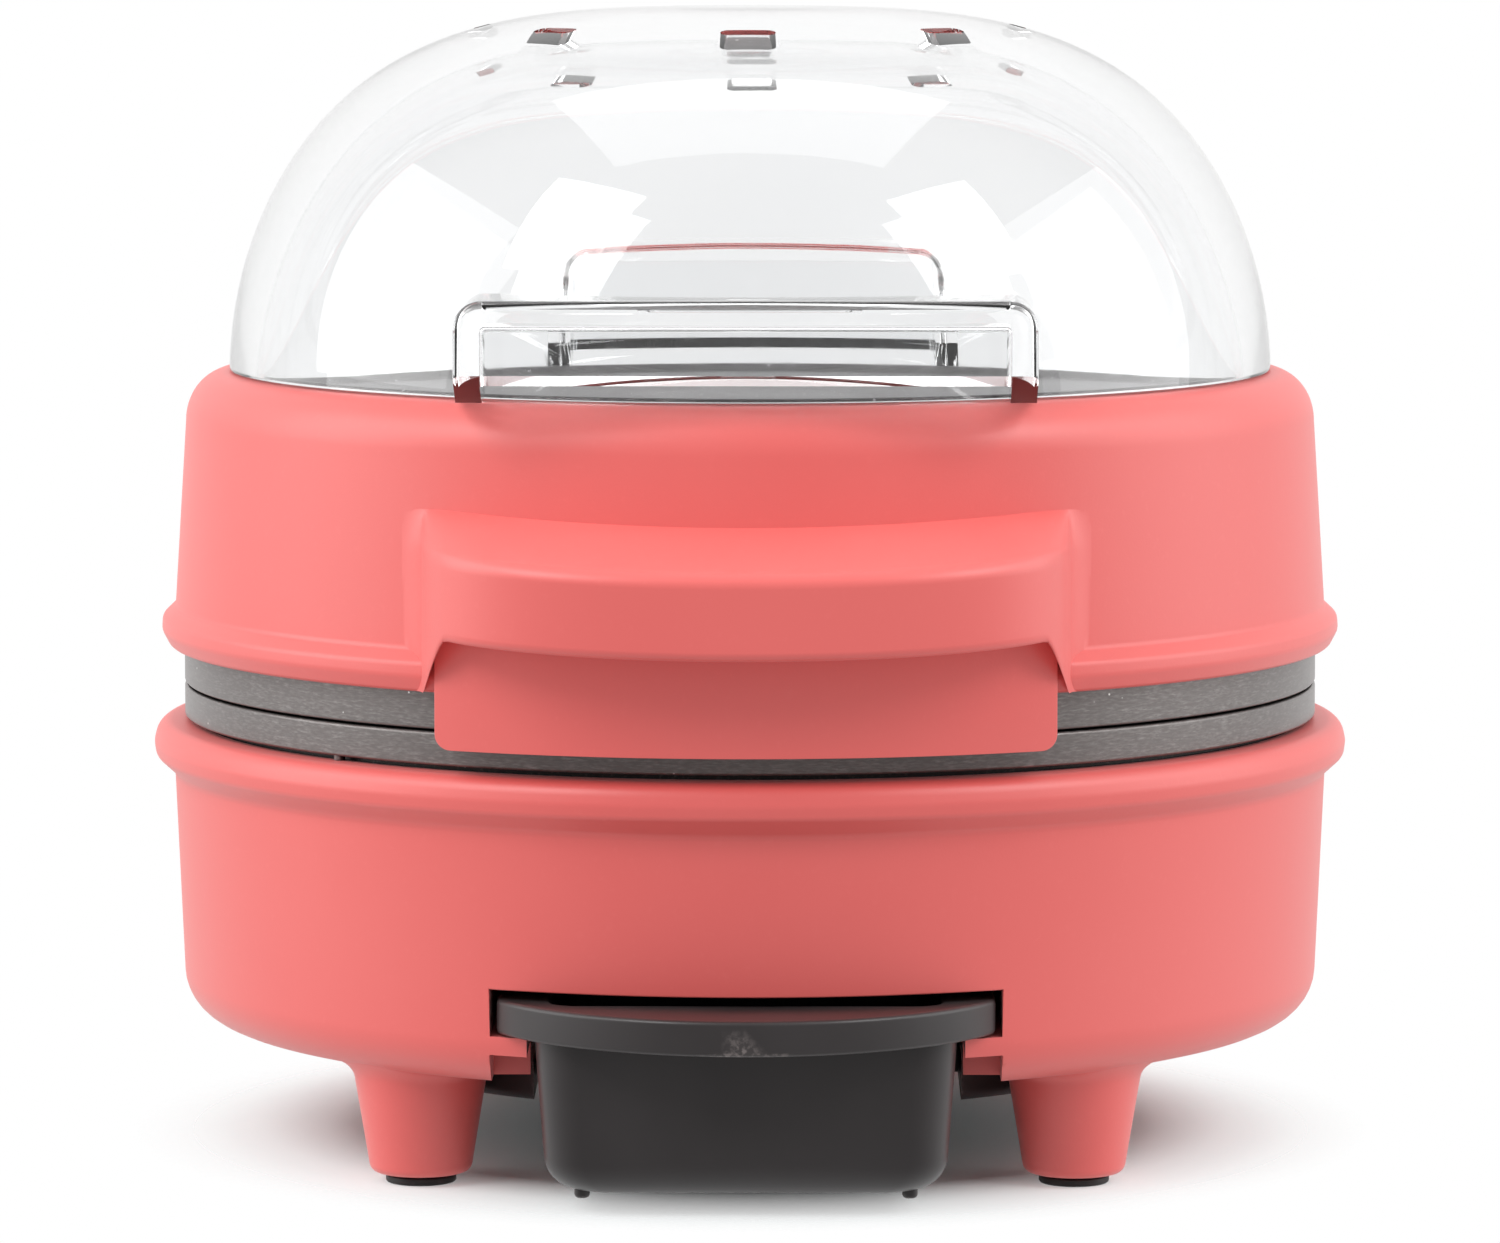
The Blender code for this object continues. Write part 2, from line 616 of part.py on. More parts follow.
def leg_profile():
    socket_top = LEG_FOOT_Z + PAD_STEM_LENGTH + GAP
    socket = PAD_STEM_RADIUS + GAP
    root_z = BASE_BOTTOM_Z + LEG_ROOT
    return [
        (0.0, root_z),
        (LEG_TOP_RADIUS, root_z),
        (LEG_TOP_RADIUS, BASE_BOTTOM_Z),
        (LEG_FOOT_RADIUS, LEG_FOOT_Z + LEG_EDGE),
        (LEG_FOOT_RADIUS - LEG_EDGE / 3, LEG_FOOT_Z + LEG_EDGE / 3),
        (LEG_FOOT_RADIUS - LEG_EDGE, LEG_FOOT_Z),
        (socket, LEG_FOOT_Z),
        (socket, socket_top),
        (0.0, socket_top),
    ]


def leg_places():
    names = ("front_left", "front_right", "rear_left", "rear_right")
    corners = ((-LEG_X, -LEG_Y), (LEG_X, -LEG_Y), (-LEG_X, LEG_Y), (LEG_X, LEG_Y))
    return list(zip(names, corners))


def ear_outline():
    """Side view of a base ear: a round eye with an arm down to the base wall, as (Y, Z) pairs."""
    arm_top = HINGE_Z - EAR_ARM_DROP
    meeting = 180 + math.degrees(math.asin(EAR_ARM_DROP / KNUCKLE_RADIUS))
    eye = arc((HINGE_Y, HINGE_Z), KNUCKLE_RADIUS, meeting, -45, SMALL_STEPS)
    drop = HINGE_Z - EAR_ARM_ROOT_Z
    root_y = BASE_HIGH_RADIUS - drop
    return eye + [(BASE_BEAD_RADIUS - drop / 2, EAR_ARM_ROOT_Z), (root_y, EAR_ARM_ROOT_Z), (root_y, arm_top)]


def lid_knuckle_outline():
    """Side view of the lid's knuckle and the arm that joins it to the lid wall, as (Y, Z) pairs."""
    eye = arc((HINGE_Y, HINGE_Z), KNUCKLE_RADIUS, -150, 60, SMALL_STEPS)
    reach_in = LID_LOW_RADIUS - LID_WALL - KNUCKLE_RADIUS
    arm_low = HINGE_Z + KNUCKLE_RADIUS / 2
    return eye + [(LID_BEAD_RADIUS - BODY_MARGIN, LID_ARM_TOP_Z), (reach_in, LID_ARM_TOP_Z),
                  (reach_in, arm_low), (HINGE_Y - KNUCKLE_RADIUS, arm_low)]


def base_wire_bore():
    """Ends of the slanted wireway from inside the base up to the hinge axis, in the left ear."""
    x = -EAR_OUTER_X + EAR_WIDTH / 3
    gutter = (REFLECTOR_RADIUS + BASE_LOW_RADIUS - BASE_WALL) / 2
    gutter_y = math.sqrt(gutter * gutter - x * x)
    return (x, gutter_y, EAR_ARM_ROOT_Z - KNUCKLE_RADIUS / 2), (x, HINGE_Y, HINGE_Z)


def lid_wire_bore():
    """Ends of the slanted wireway from the hinge axis up into the lid."""
    inside_y = PLATE_BODY_RADIUS + LEAD_RADIUS + BODY_MARGIN * 2
    return (0.0, HINGE_Y, HINGE_Z), (0.0, inside_y, LID_ARM_TOP_Z + LEAD_RISE)


def make_base_housing():
    housing = turned("base_housing", base_shell_profile(), True, coral())

    leg_mesh = turned("leg_tool", leg_profile(), False, steps=SMALL_STEPS + BEAD_STEPS)
    for index, (_, (x, y)) in enumerate(leg_places()):
        leg = leg_mesh if index == 0 else leg_mesh.copy()
        if index:
            cutter_collection.objects.link(leg)
        leg.location = (x, y, 0.0)
        join(housing, leg)

    bay_side = BAY_HALF_WIDTH + BAY_WALL
    bay_front = -BASE_LOW_RADIUS + BASE_WALL
    bay = box("bay_block", (-bay_side, bay_front, BASE_BOTTOM_Z + GAP),
              (bay_side, BAY_BACK_Y + BAY_WALL, BAY_TOP_Z + BAY_WALL))
    wall_middle = BASE_LOW_RADIUS - BASE_WALL / 2
    limit = [(0.0, BASE_TOP_Z), (wall_middle, BASE_TOP_Z)]
    limit += arc((BASE_LOW_RADIUS - BASE_FILLET, BASE_BOTTOM_Z + BASE_FILLET), BASE_FILLET - BASE_WALL / 2,
                 0, -90, BEAD_STEPS)
    limit.append((0.0, BASE_BOTTOM_Z + BASE_WALL / 2))
    keep(bay, turned("bay_limit", limit, False))
    join(housing, bay)

    lead_hole = SCREW_RADIUS + GAP
    head_hole = SCREW_HEAD_RADIUS + GAP
    for angle in POST_ANGLES:
        foot = around(POST_CIRCLE, angle, BASE_FLOOR_Z - BASE_WALL / 2)
        top = around(POST_CIRCLE, angle, BASE_POST_TOP_Z)
        join(housing, rod("post_tool", POST_RADIUS, foot, top))
    for angle in COVER_SCREW_ANGLES:
        foot = around(COVER_SCREW_CIRCLE, angle, BASE_FLOOR_Z - BASE_WALL / 2)
        top = around(COVER_SCREW_CIRCLE, angle, COVER_BOSS_TOP_Z)
        join(housing, rod("cover_boss_tool", COVER_BOSS_RADIUS, foot, top))

    ear_middle = EAR_INNER_X + EAR_WIDTH / 2
    wall_line = BASE_HIGH_RADIUS - BASE_WALL / 2
    root_low = EAR_ARM_ROOT_Z - OVERRUN
    inner_keepout = turned("wall_line", [(0.0, HINGE_Z), (wall_line, HINGE_Z), (wall_line, root_low),
                                         (0.0, root_low)], False)
    for side in (-1, 1):
        ear = extruded("ear_tool", ear_outline(), EAR_WIDTH / 2, 'YZ', side * ear_middle)
        cut(ear, inner_keepout)
        join(housing, ear)

    flange_room = PLATE_RADIUS + BODY_MARGIN
    room_top = HINGE_Z + KNUCKLE_RADIUS + OVERRUN
    room_low = BASE_TOP_Z + GAP / 2
    cut(housing, turned("flange_room", [(0.0, room_top), (flange_room, room_top), (flange_room, room_low),
                                        (0.0, room_low)], False))
    cut_front = -REACH
    cut(housing, box("bay_upper", (-BAY_HALF_WIDTH, cut_front, RAIL_TOP_Z),
                     (BAY_HALF_WIDTH, BAY_BACK_Y, BAY_TOP_Z)))
    cut(housing, box("bay_slot", (-BAY_SLOT_HALF_WIDTH, cut_front, BASE_BOTTOM_Z - OVERRUN),
                     (BAY_SLOT_HALF_WIDTH, BAY_BACK_Y, RAIL_TOP_Z + GAP)))
    cut(housing, box("bay_mouth", (-BAY_HALF_WIDTH, cut_front, BASE_BOTTOM_Z - OVERRUN),
                     (BAY_HALF_WIDTH, BAY_THROAT_Y, RAIL_TOP_Z - RAIL_THICKNESS)))
    cut(housing, bore("chute_hole", CHUTE_BORE + CHUTE_WALL + GAP, (0.0, DRAIN_Y, BAY_TOP_Z - OVERRUN),
                      (0.0, DRAIN_Y, BAY_TOP_Z + BAY_WALL + OVERRUN)))
    bush_start = (0.0, BASE_LOW_RADIUS - BASE_WALL - OVERRUN, BUSH_Z)
    bush_end = (0.0, BASE_HIGH_RADIUS + OVERRUN, BUSH_Z)
    cut(housing, bore("bush_hole", BUSH_NECK_RADIUS + GAP, bush_start, bush_end, steps=SMALL_STEPS * 2))
    for angle in POST_ANGLES:
        low = around(POST_CIRCLE, angle, BASE_BOTTOM_Z - OVERRUN)
        seat = around(POST_CIRCLE, angle, BASE_SCREW_SEAT_Z)
        high = around(POST_CIRCLE, angle, BASE_POST_TOP_Z + OVERRUN)
        cut(housing, bore("screw_hole", lead_hole, low, high), bore("head_hole", head_hole, low, seat))
    for angle in COVER_SCREW_ANGLES:
        low = around(COVER_SCREW_CIRCLE, angle, BASE_BOTTOM_Z - OVERRUN)
        high = around(COVER_SCREW_CIRCLE, angle, COVER_BOSS_TOP_Z + OVERRUN)
        cut(housing, bore("cover_screw_hole", lead_hole, low, high))
    pin_hole = PIN_RADIUS + PIN_CLEARANCE
    reach_x = EAR_OUTER_X - EAR_WIDTH / 4
    cut(housing, bore("pin_hole_left", pin_hole, (-reach_x, HINGE_Y, HINGE_Z),
                      (-EAR_INNER_X + OVERRUN, HINGE_Y, HINGE_Z), steps=SMALL_STEPS * 2))
    cut(housing, bore("pin_hole_right", pin_hole, (EAR_INNER_X - OVERRUN, HINGE_Y, HINGE_Z),
                      (EAR_OUTER_X + OVERRUN, HINGE_Y, HINGE_Z), steps=SMALL_STEPS * 2))
    cut(housing, bore("wireway_base", LEAD_RADIUS + WIRE_BORE_CLEARANCE, *base_wire_bore()))
    return housing


def make_foot_pads():
    profile = [
        (0.0, LEG_FOOT_Z + PAD_STEM_LENGTH),
        (PAD_STEM_RADIUS, LEG_FOOT_Z + PAD_STEM_LENGTH),
        (PAD_STEM_RADIUS, PAD_THICKNESS),
        (PAD_RADIUS, PAD_THICKNESS),
        (PAD_RADIUS, PAD_THICKNESS / 3),
        (PAD_RADIUS - PAD_THICKNESS / 3, 0.0),
        (0.0, 0.0),
    ]
    first = None
    pads = []
    for name, (x, y) in leg_places():
        if first is None:
            first = turned("foot_pad_" + name, profile, False, rubber(), SMALL_STEPS)
            pad = first
        else:
            pad = first.copy()
            pad.name = "foot_pad_" + name
            part_collection.objects.link(pad)
        pad.location = (x, y, 0.0)
        pads.append(pad)
    return pads


def plate_profile(back_z, face_z, flange_z, spigot_radius, spigot_z):
    """Half section of a cooking plate; the sign of back_z against face_z says which way the pan lies."""
    way = 1 if back_z > face_z else -1
    floor_z = back_z - way * PLATE_WALL
    profile = [
        (0.0, floor_z),
        (CAVITY_RADIUS - CAVITY_DRAFT, floor_z),
        (CAVITY_RADIUS, face_z),
        (PLATE_RADIUS, face_z),
        (PLATE_RADIUS, flange_z),
    ]
    if spigot_radius:
        profile += [(spigot_radius, flange_z), (spigot_radius, spigot_z), (PLATE_BODY_RADIUS, spigot_z)]
    else:
        profile += [(PLATE_BODY_RADIUS, flange_z)]
    profile += [(PLATE_BODY_RADIUS, back_z), (0.0, back_z)]
    return profile if way < 0 else profile[::-1]


def ridge_tools(floor_z, way):
    ridges = []
    reach = CAVITY_RADIUS - CAVITY_DRAFT - RIDGE_END_SPACE
    pitch = CAVITY_RADIUS * RIDGE_PITCH_SHARE
    for index in range(RIDGE_COUNT):
        x = (index - (RIDGE_COUNT - 1) / 2) * pitch
        half_length = math.sqrt(reach * reach - x * x)
        low_z, high_z = sorted((floor_z - way * PLATE_WALL / 2, floor_z + way * RIDGE_HEIGHT))
        ridges.append(box("ridge", (x - RIDGE_WIDTH / 2, -half_length, low_z),
                          (x + RIDGE_WIDTH / 2, half_length, high_z)))
    return ridges


def make_lower_plate():
    plate = turned("lower_plate", plate_profile(LOWER_PLATE_BACK_Z, LOWER_PLATE_TOP_Z, LOWER_FLANGE_Z,
                                                BASE_BORE - GAP, LEDGE_TOP_Z + GAP), False, cast_plate())
    join(plate, *ridge_tools(LOWER_PLATE_BACK_Z + PLATE_WALL, 1))
    boss_z = LOWER_REFLECTOR_TOP_Z + GAP
    for angle in POST_ANGLES:
        join(plate, rod("plate_boss", PLATE_BOSS_RADIUS, around(POST_CIRCLE, angle, boss_z),
                        around(POST_CIRCLE, angle, LOWER_PLATE_BACK_Z + PLATE_WALL / 2)))
    for angle in POST_ANGLES:
        cut(plate, bore("plate_thread", SCREW_RADIUS + GAP, around(POST_CIRCLE, angle, boss_z - OVERRUN),
                       around(POST_CIRCLE, angle, boss_z + SCREW_GRIP + GAP)))
    cut(plate, bore("drain_hole", DRAIN_RADIUS, (0.0, DRAIN_Y, LOWER_PLATE_BACK_Z - OVERRUN),
                   (0.0, DRAIN_Y, LOWER_PLATE_BACK_Z + PLATE_WALL + OVERRUN)))
    return plate


def make_upper_plate():
    profile = plate_profile(UPPER_PLATE_BACK_Z, UPPER_PLATE_BOTTOM_Z, UPPER_FLANGE_Z, None, None)
    plate = turned("upper_plate", profile, False, cast_plate())
    join(plate, *ridge_tools(UPPER_PLATE_BACK_Z - PLATE_WALL, -1))
    boss_z = UPPER_REFLECTOR_BOTTOM_Z - GAP
    for angle in LID_POST_ANGLES:
        root = around(POST_CIRCLE, angle, UPPER_PLATE_BACK_Z - PLATE_WALL / 2)
        join(plate, rod("plate_boss", PLATE_BOSS_RADIUS, root, around(POST_CIRCLE, angle, boss_z)))
    for angle in LID_POST_ANGLES:
        end = around(POST_CIRCLE, angle, boss_z - SCREW_GRIP - GAP)
        mouth = around(POST_CIRCLE, angle, boss_z + OVERRUN)
        cut(plate, bore("plate_thread", SCREW_RADIUS + GAP, end, mouth))
    return plate


def tail_place(side):
    """Where an element's end turns away from the plate, left (-1) or right (1) of the gap at the rear."""
    angle = math.pi / 2 - side * ELEMENT_GAP_ANGLE / 2
    ring_x, ring_y, _ = around(ELEMENT_RING_RADIUS, angle)
    run_x = side * ELEMENT_LEG_RUN * math.sin(angle)
    run_y = ELEMENT_LEG_RUN * abs(math.cos(angle))
    return (ring_x - run_x, ring_y + run_y)


def element_route(z, leg_way):
    """An open ring with its two ends turned away from the plate."""
    start = math.pi / 2 + ELEMENT_GAP_ANGLE / 2
    sweep = 2 * math.pi - ELEMENT_GAP_ANGLE
    step = sweep / (ELEMENT_POINTS - 1)
    ring = [around(ELEMENT_RING_RADIUS, start + step * i, z) for i in range(ELEMENT_POINTS)]
    tails = []
    for side, ring_end in ((-1, ring[0]), (1, ring[-1])):
        x, y = tail_place(side)
        tip = (x, y, z + leg_way * ELEMENT_LEG_DROP)
        tails.append([tip] + bend((x, y, z), tip, ring_end, ELEMENT_BEND))
    return tails[0] + ring + tails[1][::-1]


def make_lower_element():
    return wire("lower_element", element_route(LOWER_ELEMENT_Z, -1), ELEMENT_RADIUS, element_sheath())


def make_upper_element():
    return wire("upper_element", element_route(UPPER_ELEMENT_Z, 1), ELEMENT_RADIUS, element_sheath())


def make_reflector(name, near_z, way, post_angles, drain):
    """A thin dished sheet behind an element; near_z is the face next to the element."""
    far_z = near_z - way * REFLECTOR_SHEET
    rim_z = near_z + way * REFLECTOR_RIM
    profile = [
        (0.0, near_z),
        (REFLECTOR_RADIUS - REFLECTOR_SHEET, near_z),
        (REFLECTOR_RADIUS - REFLECTOR_SHEET, rim_z),
        (REFLECTOR_RADIUS, rim_z),
        (REFLECTOR_RADIUS, far_z),
        (0.0, far_z),
    ]
    sheet = turned(name, profile if way > 0 else profile[::-1], False, tin())
    low, high = near_z - OVERRUN, near_z + OVERRUN
    for side in (-1, 1):
        x, y = tail_place(side)
        cut(sheet, bore("tail_hole", ELEMENT_RADIUS + BODY_MARGIN, (x, y, low), (x, y, high)))
    for angle in post_angles:
        cut(sheet, bore("screw_hole", SCREW_RADIUS + GAP, around(POST_CIRCLE, angle, low),
                        around(POST_CIRCLE, angle, high)))
    if drain:
        cut(sheet, bore("drain_clear", CHUTE_BORE + CHUTE_WALL + CHUTE_FLARE + GAP, (0.0, DRAIN_Y, low),
                        (0.0, DRAIN_Y, high), SMALL_STEPS * 2))
    return sheet


def make_thermostat(name, low_z, high_z, finish):
    """A round bimetal switch clamped between the plate's back and the reflector."""
    flange_z = low_z + THERMOSTAT_FLANGE
    profile = [
        (0.0, high_z),
        (THERMOSTAT_RADIUS, high_z),
        (THERMOSTAT_RADIUS, flange_z),
        (THERMOSTAT_FLANGE_RADIUS, flange_z),
        (THERMOSTAT_FLANGE_RADIUS, low_z),
        (0.0, low_z),
    ]
    return turned(name, profile, False, finish, SMALL_STEPS * 2)


def make_thermal_fuse():
    z = LOWER_REFLECTOR_TOP_Z + GAP + FUSE_RADIUS
    return rod("thermal_fuse", FUSE_RADIUS, (FUSE_X, -FUSE_LENGTH / 2, z), (FUSE_X, FUSE_LENGTH / 2, z),
               ceramic())


def screw_profile(length, head):
    return [
        (0.0, length),
        (SCREW_RADIUS, length - SCREW_RADIUS / 2),
        (SCREW_RADIUS, 0.0),
        (SCREW_HEAD_RADIUS, 0.0),
        (SCREW_HEAD_RADIUS, -head / 2),
        (SCREW_HEAD_RADIUS - head / 2, -head),
        (0.0, -head),
    ]


def make_screws(stem, circle, angles, seat_z, length, head, upside_down=False):
    """Screws with their heads under seat_z and their shanks above it, or the other way up."""
    first = None
    screws = []
    for index, angle in enumerate(angles):
        name = stem + "_" + str(index + 1)
        if first is None:
            first = turned(name, screw_profile(length, head), False, steel(), SMALL_STEPS)
            screw = first
        else:
            screw = first.copy()
            screw.name = name
            part_collection.objects.link(screw)
        screw.location = around(circle, angle, seat_z)
        screw.rotation_euler = (math.pi if upside_down else 0.0, 0.0, 0.0)
        screws.append(screw)
    return screws


def make_bottom_cover():
    profile = [
        (COVER_RADIUS - COVER_SHEET, COVER_TOP_Z),
        (COVER_RADIUS, COVER_TOP_Z),
        (COVER_RADIUS, COVER_BOTTOM_Z + COVER_EDGE),
        (COVER_RADIUS - COVER_EDGE, COVER_BOTTOM_Z),
        (0.0, COVER_BOTTOM_Z),
    ]
    inner = [
        (0.0, COVER_FLOOR_Z),
        (COVER_RADIUS - COVER_SHEET, COVER_FLOOR_Z),
    ]
    cover = turned("bottom_cover", inner + profile, False, dark_plastic())
    slot = BAY_SLOT_HALF_WIDTH
    wall = COVER_SHEET
    fence = box("slot_fence", (-slot - wall, -COVER_RADIUS + wall, COVER_BOTTOM_Z + COVER_EDGE / 2),
                (slot + wall, BAY_BACK_Y + wall, COVER_TOP_Z))
    above, below = COVER_TOP_Z + OVERRUN, COVER_BOTTOM_Z - OVERRUN
    edge = COVER_RADIUS - wall / 2
    keep(fence, turned("cover_disc", [(0.0, above), (edge, above), (edge, below), (0.0, below)], False))
    join(cover, fence)
    for angle in COVER_SCREW_ANGLES:
        foot = around(COVER_SCREW_CIRCLE, angle, COVER_FLOOR_Z - COVER_SHEET / 2)
        top = around(COVER_SCREW_CIRCLE, angle, COVER_TOP_Z)
        join(cover, rod("cover_boss", COVER_BOSS_RADIUS, foot, top))
    cut(cover, box("cover_slot", (-slot, -COVER_RADIUS - OVERRUN, below), (slot, BAY_BACK_Y, above)))
    for angle in COVER_SCREW_ANGLES:
        low = around(COVER_SCREW_CIRCLE, angle, below)
        high = around(COVER_SCREW_CIRCLE, angle, above)
        seat = around(COVER_SCREW_CIRCLE, angle, COVER_BOTTOM_Z + SCREW_HEAD + GAP)
        cut(cover, bore("cover_screw_hole", SCREW_RADIUS + GAP, low, high),
            bore("cover_head_hole", SCREW_HEAD_RADIUS + GAP, low, seat))
    for index in range(VENT_COUNT):
        x = (index - (VENT_COUNT - 1) / 2) * VENT_PITCH
        cut(cover, box("cover_vent", (x - VENT_WIDTH / 2, VENT_Y - VENT_LENGTH / 2, COVER_BOTTOM_Z - OVERRUN),
                       (x + VENT_WIDTH / 2, VENT_Y + VENT_LENGTH / 2, COVER_FLOOR_Z + OVERRUN)))
    return cover


def make_terminal_block():
    sx, sy, sz = BLOCK_SIZE
    low = COVER_FLOOR_Z + GAP
    block = box("terminal_block", (-sx / 2, BLOCK_Y - sy / 2, low), (sx / 2, BLOCK_Y + sy / 2, low + sz),
                ceramic())
    groove = sz / 3
    for side in (-1, 1):
        cut(block, box("block_groove", (side * sx / 6 - WIRE_RADIUS / 2, BLOCK_Y - sy, low + sz - groove),
                       (side * sx / 6 + WIRE_RADIUS / 2, BLOCK_Y + sy, low + sz + OVERRUN)))
    return block


def make_cord_bush():
    """The bush that the mains cord passes through at the rear; the cord itself isn't part of the model."""
    outer = BASE_HIGH_RADIUS + GAP - BASE_TAPER / 2
    profile = [
        (BUSH_BORE, outer + BUSH_FLANGE),
        (BUSH_FLANGE_RADIUS - BUSH_FLANGE / 2, outer + BUSH_FLANGE),
        (BUSH_FLANGE_RADIUS, outer + BUSH_FLANGE / 2),
        (BUSH_FLANGE_RADIUS, outer),
        (BUSH_NECK_RADIUS, outer),
        (BUSH_NECK_RADIUS, outer - BASE_WALL - BUSH_INNER_LENGTH),
        (BUSH_BORE, outer - BASE_WALL - BUSH_INNER_LENGTH),
    ]
    bush = turned("cord_bush", profile, True, rubber(), SMALL_STEPS * 2)
    bush.rotation_euler = (-math.pi / 2, 0.0, 0.0)
    bush.location = (0.0, 0.0, BUSH_Z)
    return bush


def make_grease_chute():
    """A short metal funnel from the plate's drain down through the bay roof."""
    inner = CHUTE_BORE
    outer = CHUTE_BORE + CHUTE_WALL
    seat_z = BAY_TOP_Z + BAY_WALL + GAP
    top_z = LOWER_PLATE_BACK_Z - GAP
    profile = [
        (inner + CHUTE_FLARE, top_z),
        (outer + CHUTE_FLARE, top_z),
        (outer + CHUTE_FLARE, seat_z),
        (outer, seat_z),
        (outer, BAY_TOP_Z),
        (inner, BAY_TOP_Z),
        (inner, seat_z + CHUTE_WALL),
        (inner + CHUTE_FLARE, seat_z + CHUTE_FLARE),
    ]
    chute = turned("grease_chute", profile, True, tin(), SMALL_STEPS * 2)
    chute.location = (0.0, DRAIN_Y, 0.0)
    return chute


def make_hinge_pins():
    left_end = EAR_OUTER_X - EAR_WIDTH / 2
    profile = [
        (SLEEVE_BORE, 0.0),
        (PIN_RADIUS, 0.0),
        (PIN_RADIUS, -(left_end - PIN_GRIP)),
        (SLEEVE_BORE, -(left_end - PIN_GRIP)),
    ]
    sleeve = turned("hinge_sleeve", profile, True, steel(), SMALL_STEPS * 2)
    sleeve.rotation_euler = (0.0, -math.pi / 2, 0.0)
    sleeve.location = (-left_end, HINGE_Y, HINGE_Z)
    pin = rod("hinge_pin", PIN_RADIUS, (PIN_GRIP, HINGE_Y, HINGE_Z), (EAR_OUTER_X, HINGE_Y, HINGE_Z),
              steel(), SMALL_STEPS * 2)
    return sleeve, pin


def bend(corner, before, after, radius):
    """Points of a smooth bend at a corner between two straight runs."""
    corner, before, after = Vector(corner), Vector(before), Vector(after)
    enter = corner + (before - corner).normalized() * radius
    leave = corner + (after - corner).normalized() * radius
    points = []
    for i in range(BEND_STEPS + 1):
        t = i / BEND_STEPS
        points.append(tuple(enter.lerp(corner, t).lerp(corner.lerp(leave, t), t)))
    return points


def routed(corners, radius):
    points = [tuple(corners[0])]
    for i in range(1, len(corners) - 1):
        points += bend(corners[i], corners[i - 1], corners[i + 1], radius)
    points.append(tuple(corners[-1]))
    return points


def make_base_leads():
    """Two short wires from the terminal block to the element, and the lid's lead up to the hinge axis."""
    sx, sy, sz = BLOCK_SIZE
    wire_z = COVER_FLOOR_Z + GAP + sz + GAP + WIRE_RADIUS
    leads = []
    for side, name in ((-1, "element_wire_left"), (1, "element_wire_right")):
        x, y = tail_place(side)
        tail_low = LOWER_ELEMENT_Z - ELEMENT_LEG_DROP - GAP
        corners = [(side * sx / 3, BLOCK_Y - sy / 3, wire_z), (x, y, wire_z), (x, y, tail_low)]
        leads.append(wire(name, routed(corners, WIRE_BEND), WIRE_RADIUS, sleeve_white()))
    bore_low, bore_high = base_wire_bore()
    aisle_x = -sx / 2 - POST_RADIUS
    lead_z = COVER_FLOOR_Z + GAP + sz
    corners = [(-sx / 2 - LEAD_RADIUS - GAP, BLOCK_Y, lead_z), (aisle_x, BLOCK_Y + sy / 2, lead_z),
               (aisle_x, bore_low[1], lead_z), (bore_low[0], bore_low[1], LOWER_REFLECTOR_TOP_Z),
               bore_low, bore_high, (-PIN_GRIP - GAP, HINGE_Y, HINGE_Z)]
    leads.append(wire("lid_lead_lower", routed(corners, WIRE_BEND), LEAD_RADIUS, sleeve_white()))
    return leads


def make_lid_lead():
    bore_low, bore_high = lid_wire_bore()
    x, y = tail_place(-1)
    top_z = UPPER_ELEMENT_Z + ELEMENT_LEG_DROP + GAP + LEAD_RADIUS
    corners = [(-PIN_GRIP, HINGE_Y, HINGE_Z), bore_low, bore_high, (0.0, bore_high[1], top_z), (x, y, top_z)]
    return wire("lid_lead_upper", routed(corners, WIRE_BEND), LEAD_RADIUS, sleeve_white())


def lid_shell_profile():
    """Outer wall, shoulder, dome seat, deck and hollow inside of the lid, as one half section."""
    outer_corner = LID_SEAT_RADIUS
    rebate = PLATE_RADIUS + GAP
    inner_low = LID_LOW_RADIUS - LID_WALL
    inner_high = LID_HIGH_RADIUS - LID_WALL
    shoulder = [(outer_corner + (LID_HIGH_RADIUS - outer_corner) * math.sin(a),
                 LID_SHOULDER_Z + (LID_SEAT_Z - LID_SHOULDER_Z) * math.cos(a))
                for a in (math.pi / 2 * i / BEAD_STEPS for i in range(BEAD_STEPS + 1))]
    profile = [
        (0.0, LID_DECK_TOP_Z),
        (RECESS_RADIUS, LID_DECK_TOP_Z),
        (RECESS_RADIUS, LID_SEAT_Z),
    ]
    profile += shoulder
    profile += bead(LID_LOW_RADIUS, rebate + GAP, LID_BEAD_RADIUS, LID_BEAD_TOP_Z, LID_BEAD_MID_Z,
                    LID_BOTTOM_Z)
    profile += [
        (rebate, LID_BOTTOM_Z),
        (rebate, UPPER_FLANGE_Z + GAP),
        (inner_low, UPPER_FLANGE_Z + GAP),
        (inner_high, LID_SHOULDER_Z),
        (inner_high - LID_WALL, LID_DECK_BOTTOM_Z),
        (0.0, LID_DECK_BOTTOM_Z),
    ]
    return profile


def handle_side_outline(inset=0.0):
    """Side view of the front handle as (Y, Z) pairs: sloping top, rounded brow, lip below."""
    front = -REACH + inset
    brow = max(HANDLE_BROW - inset, GAP)
    lip_z = HANDLE_LIP_Z + inset
    lip = max(HANDLE_LIP_EDGE - inset, GAP)
    root = HANDLE_ROOT_Y + OVERRUN
    return ([(root, HANDLE_TOP_Z - inset), (-LID_HIGH_RADIUS, HANDLE_TOP_Z - inset),
             (HANDLE_SHOULDER_Y + inset, HANDLE_SHOULDER_Z - inset)]
            + arc((front + brow, HANDLE_SHOULDER_Z - inset - brow), brow, 110, 180, BEAD_STEPS)
            + arc((front + lip, lip_z + lip), lip, 180, 270, BEAD_STEPS // 2)
            + [(root, lip_z)])


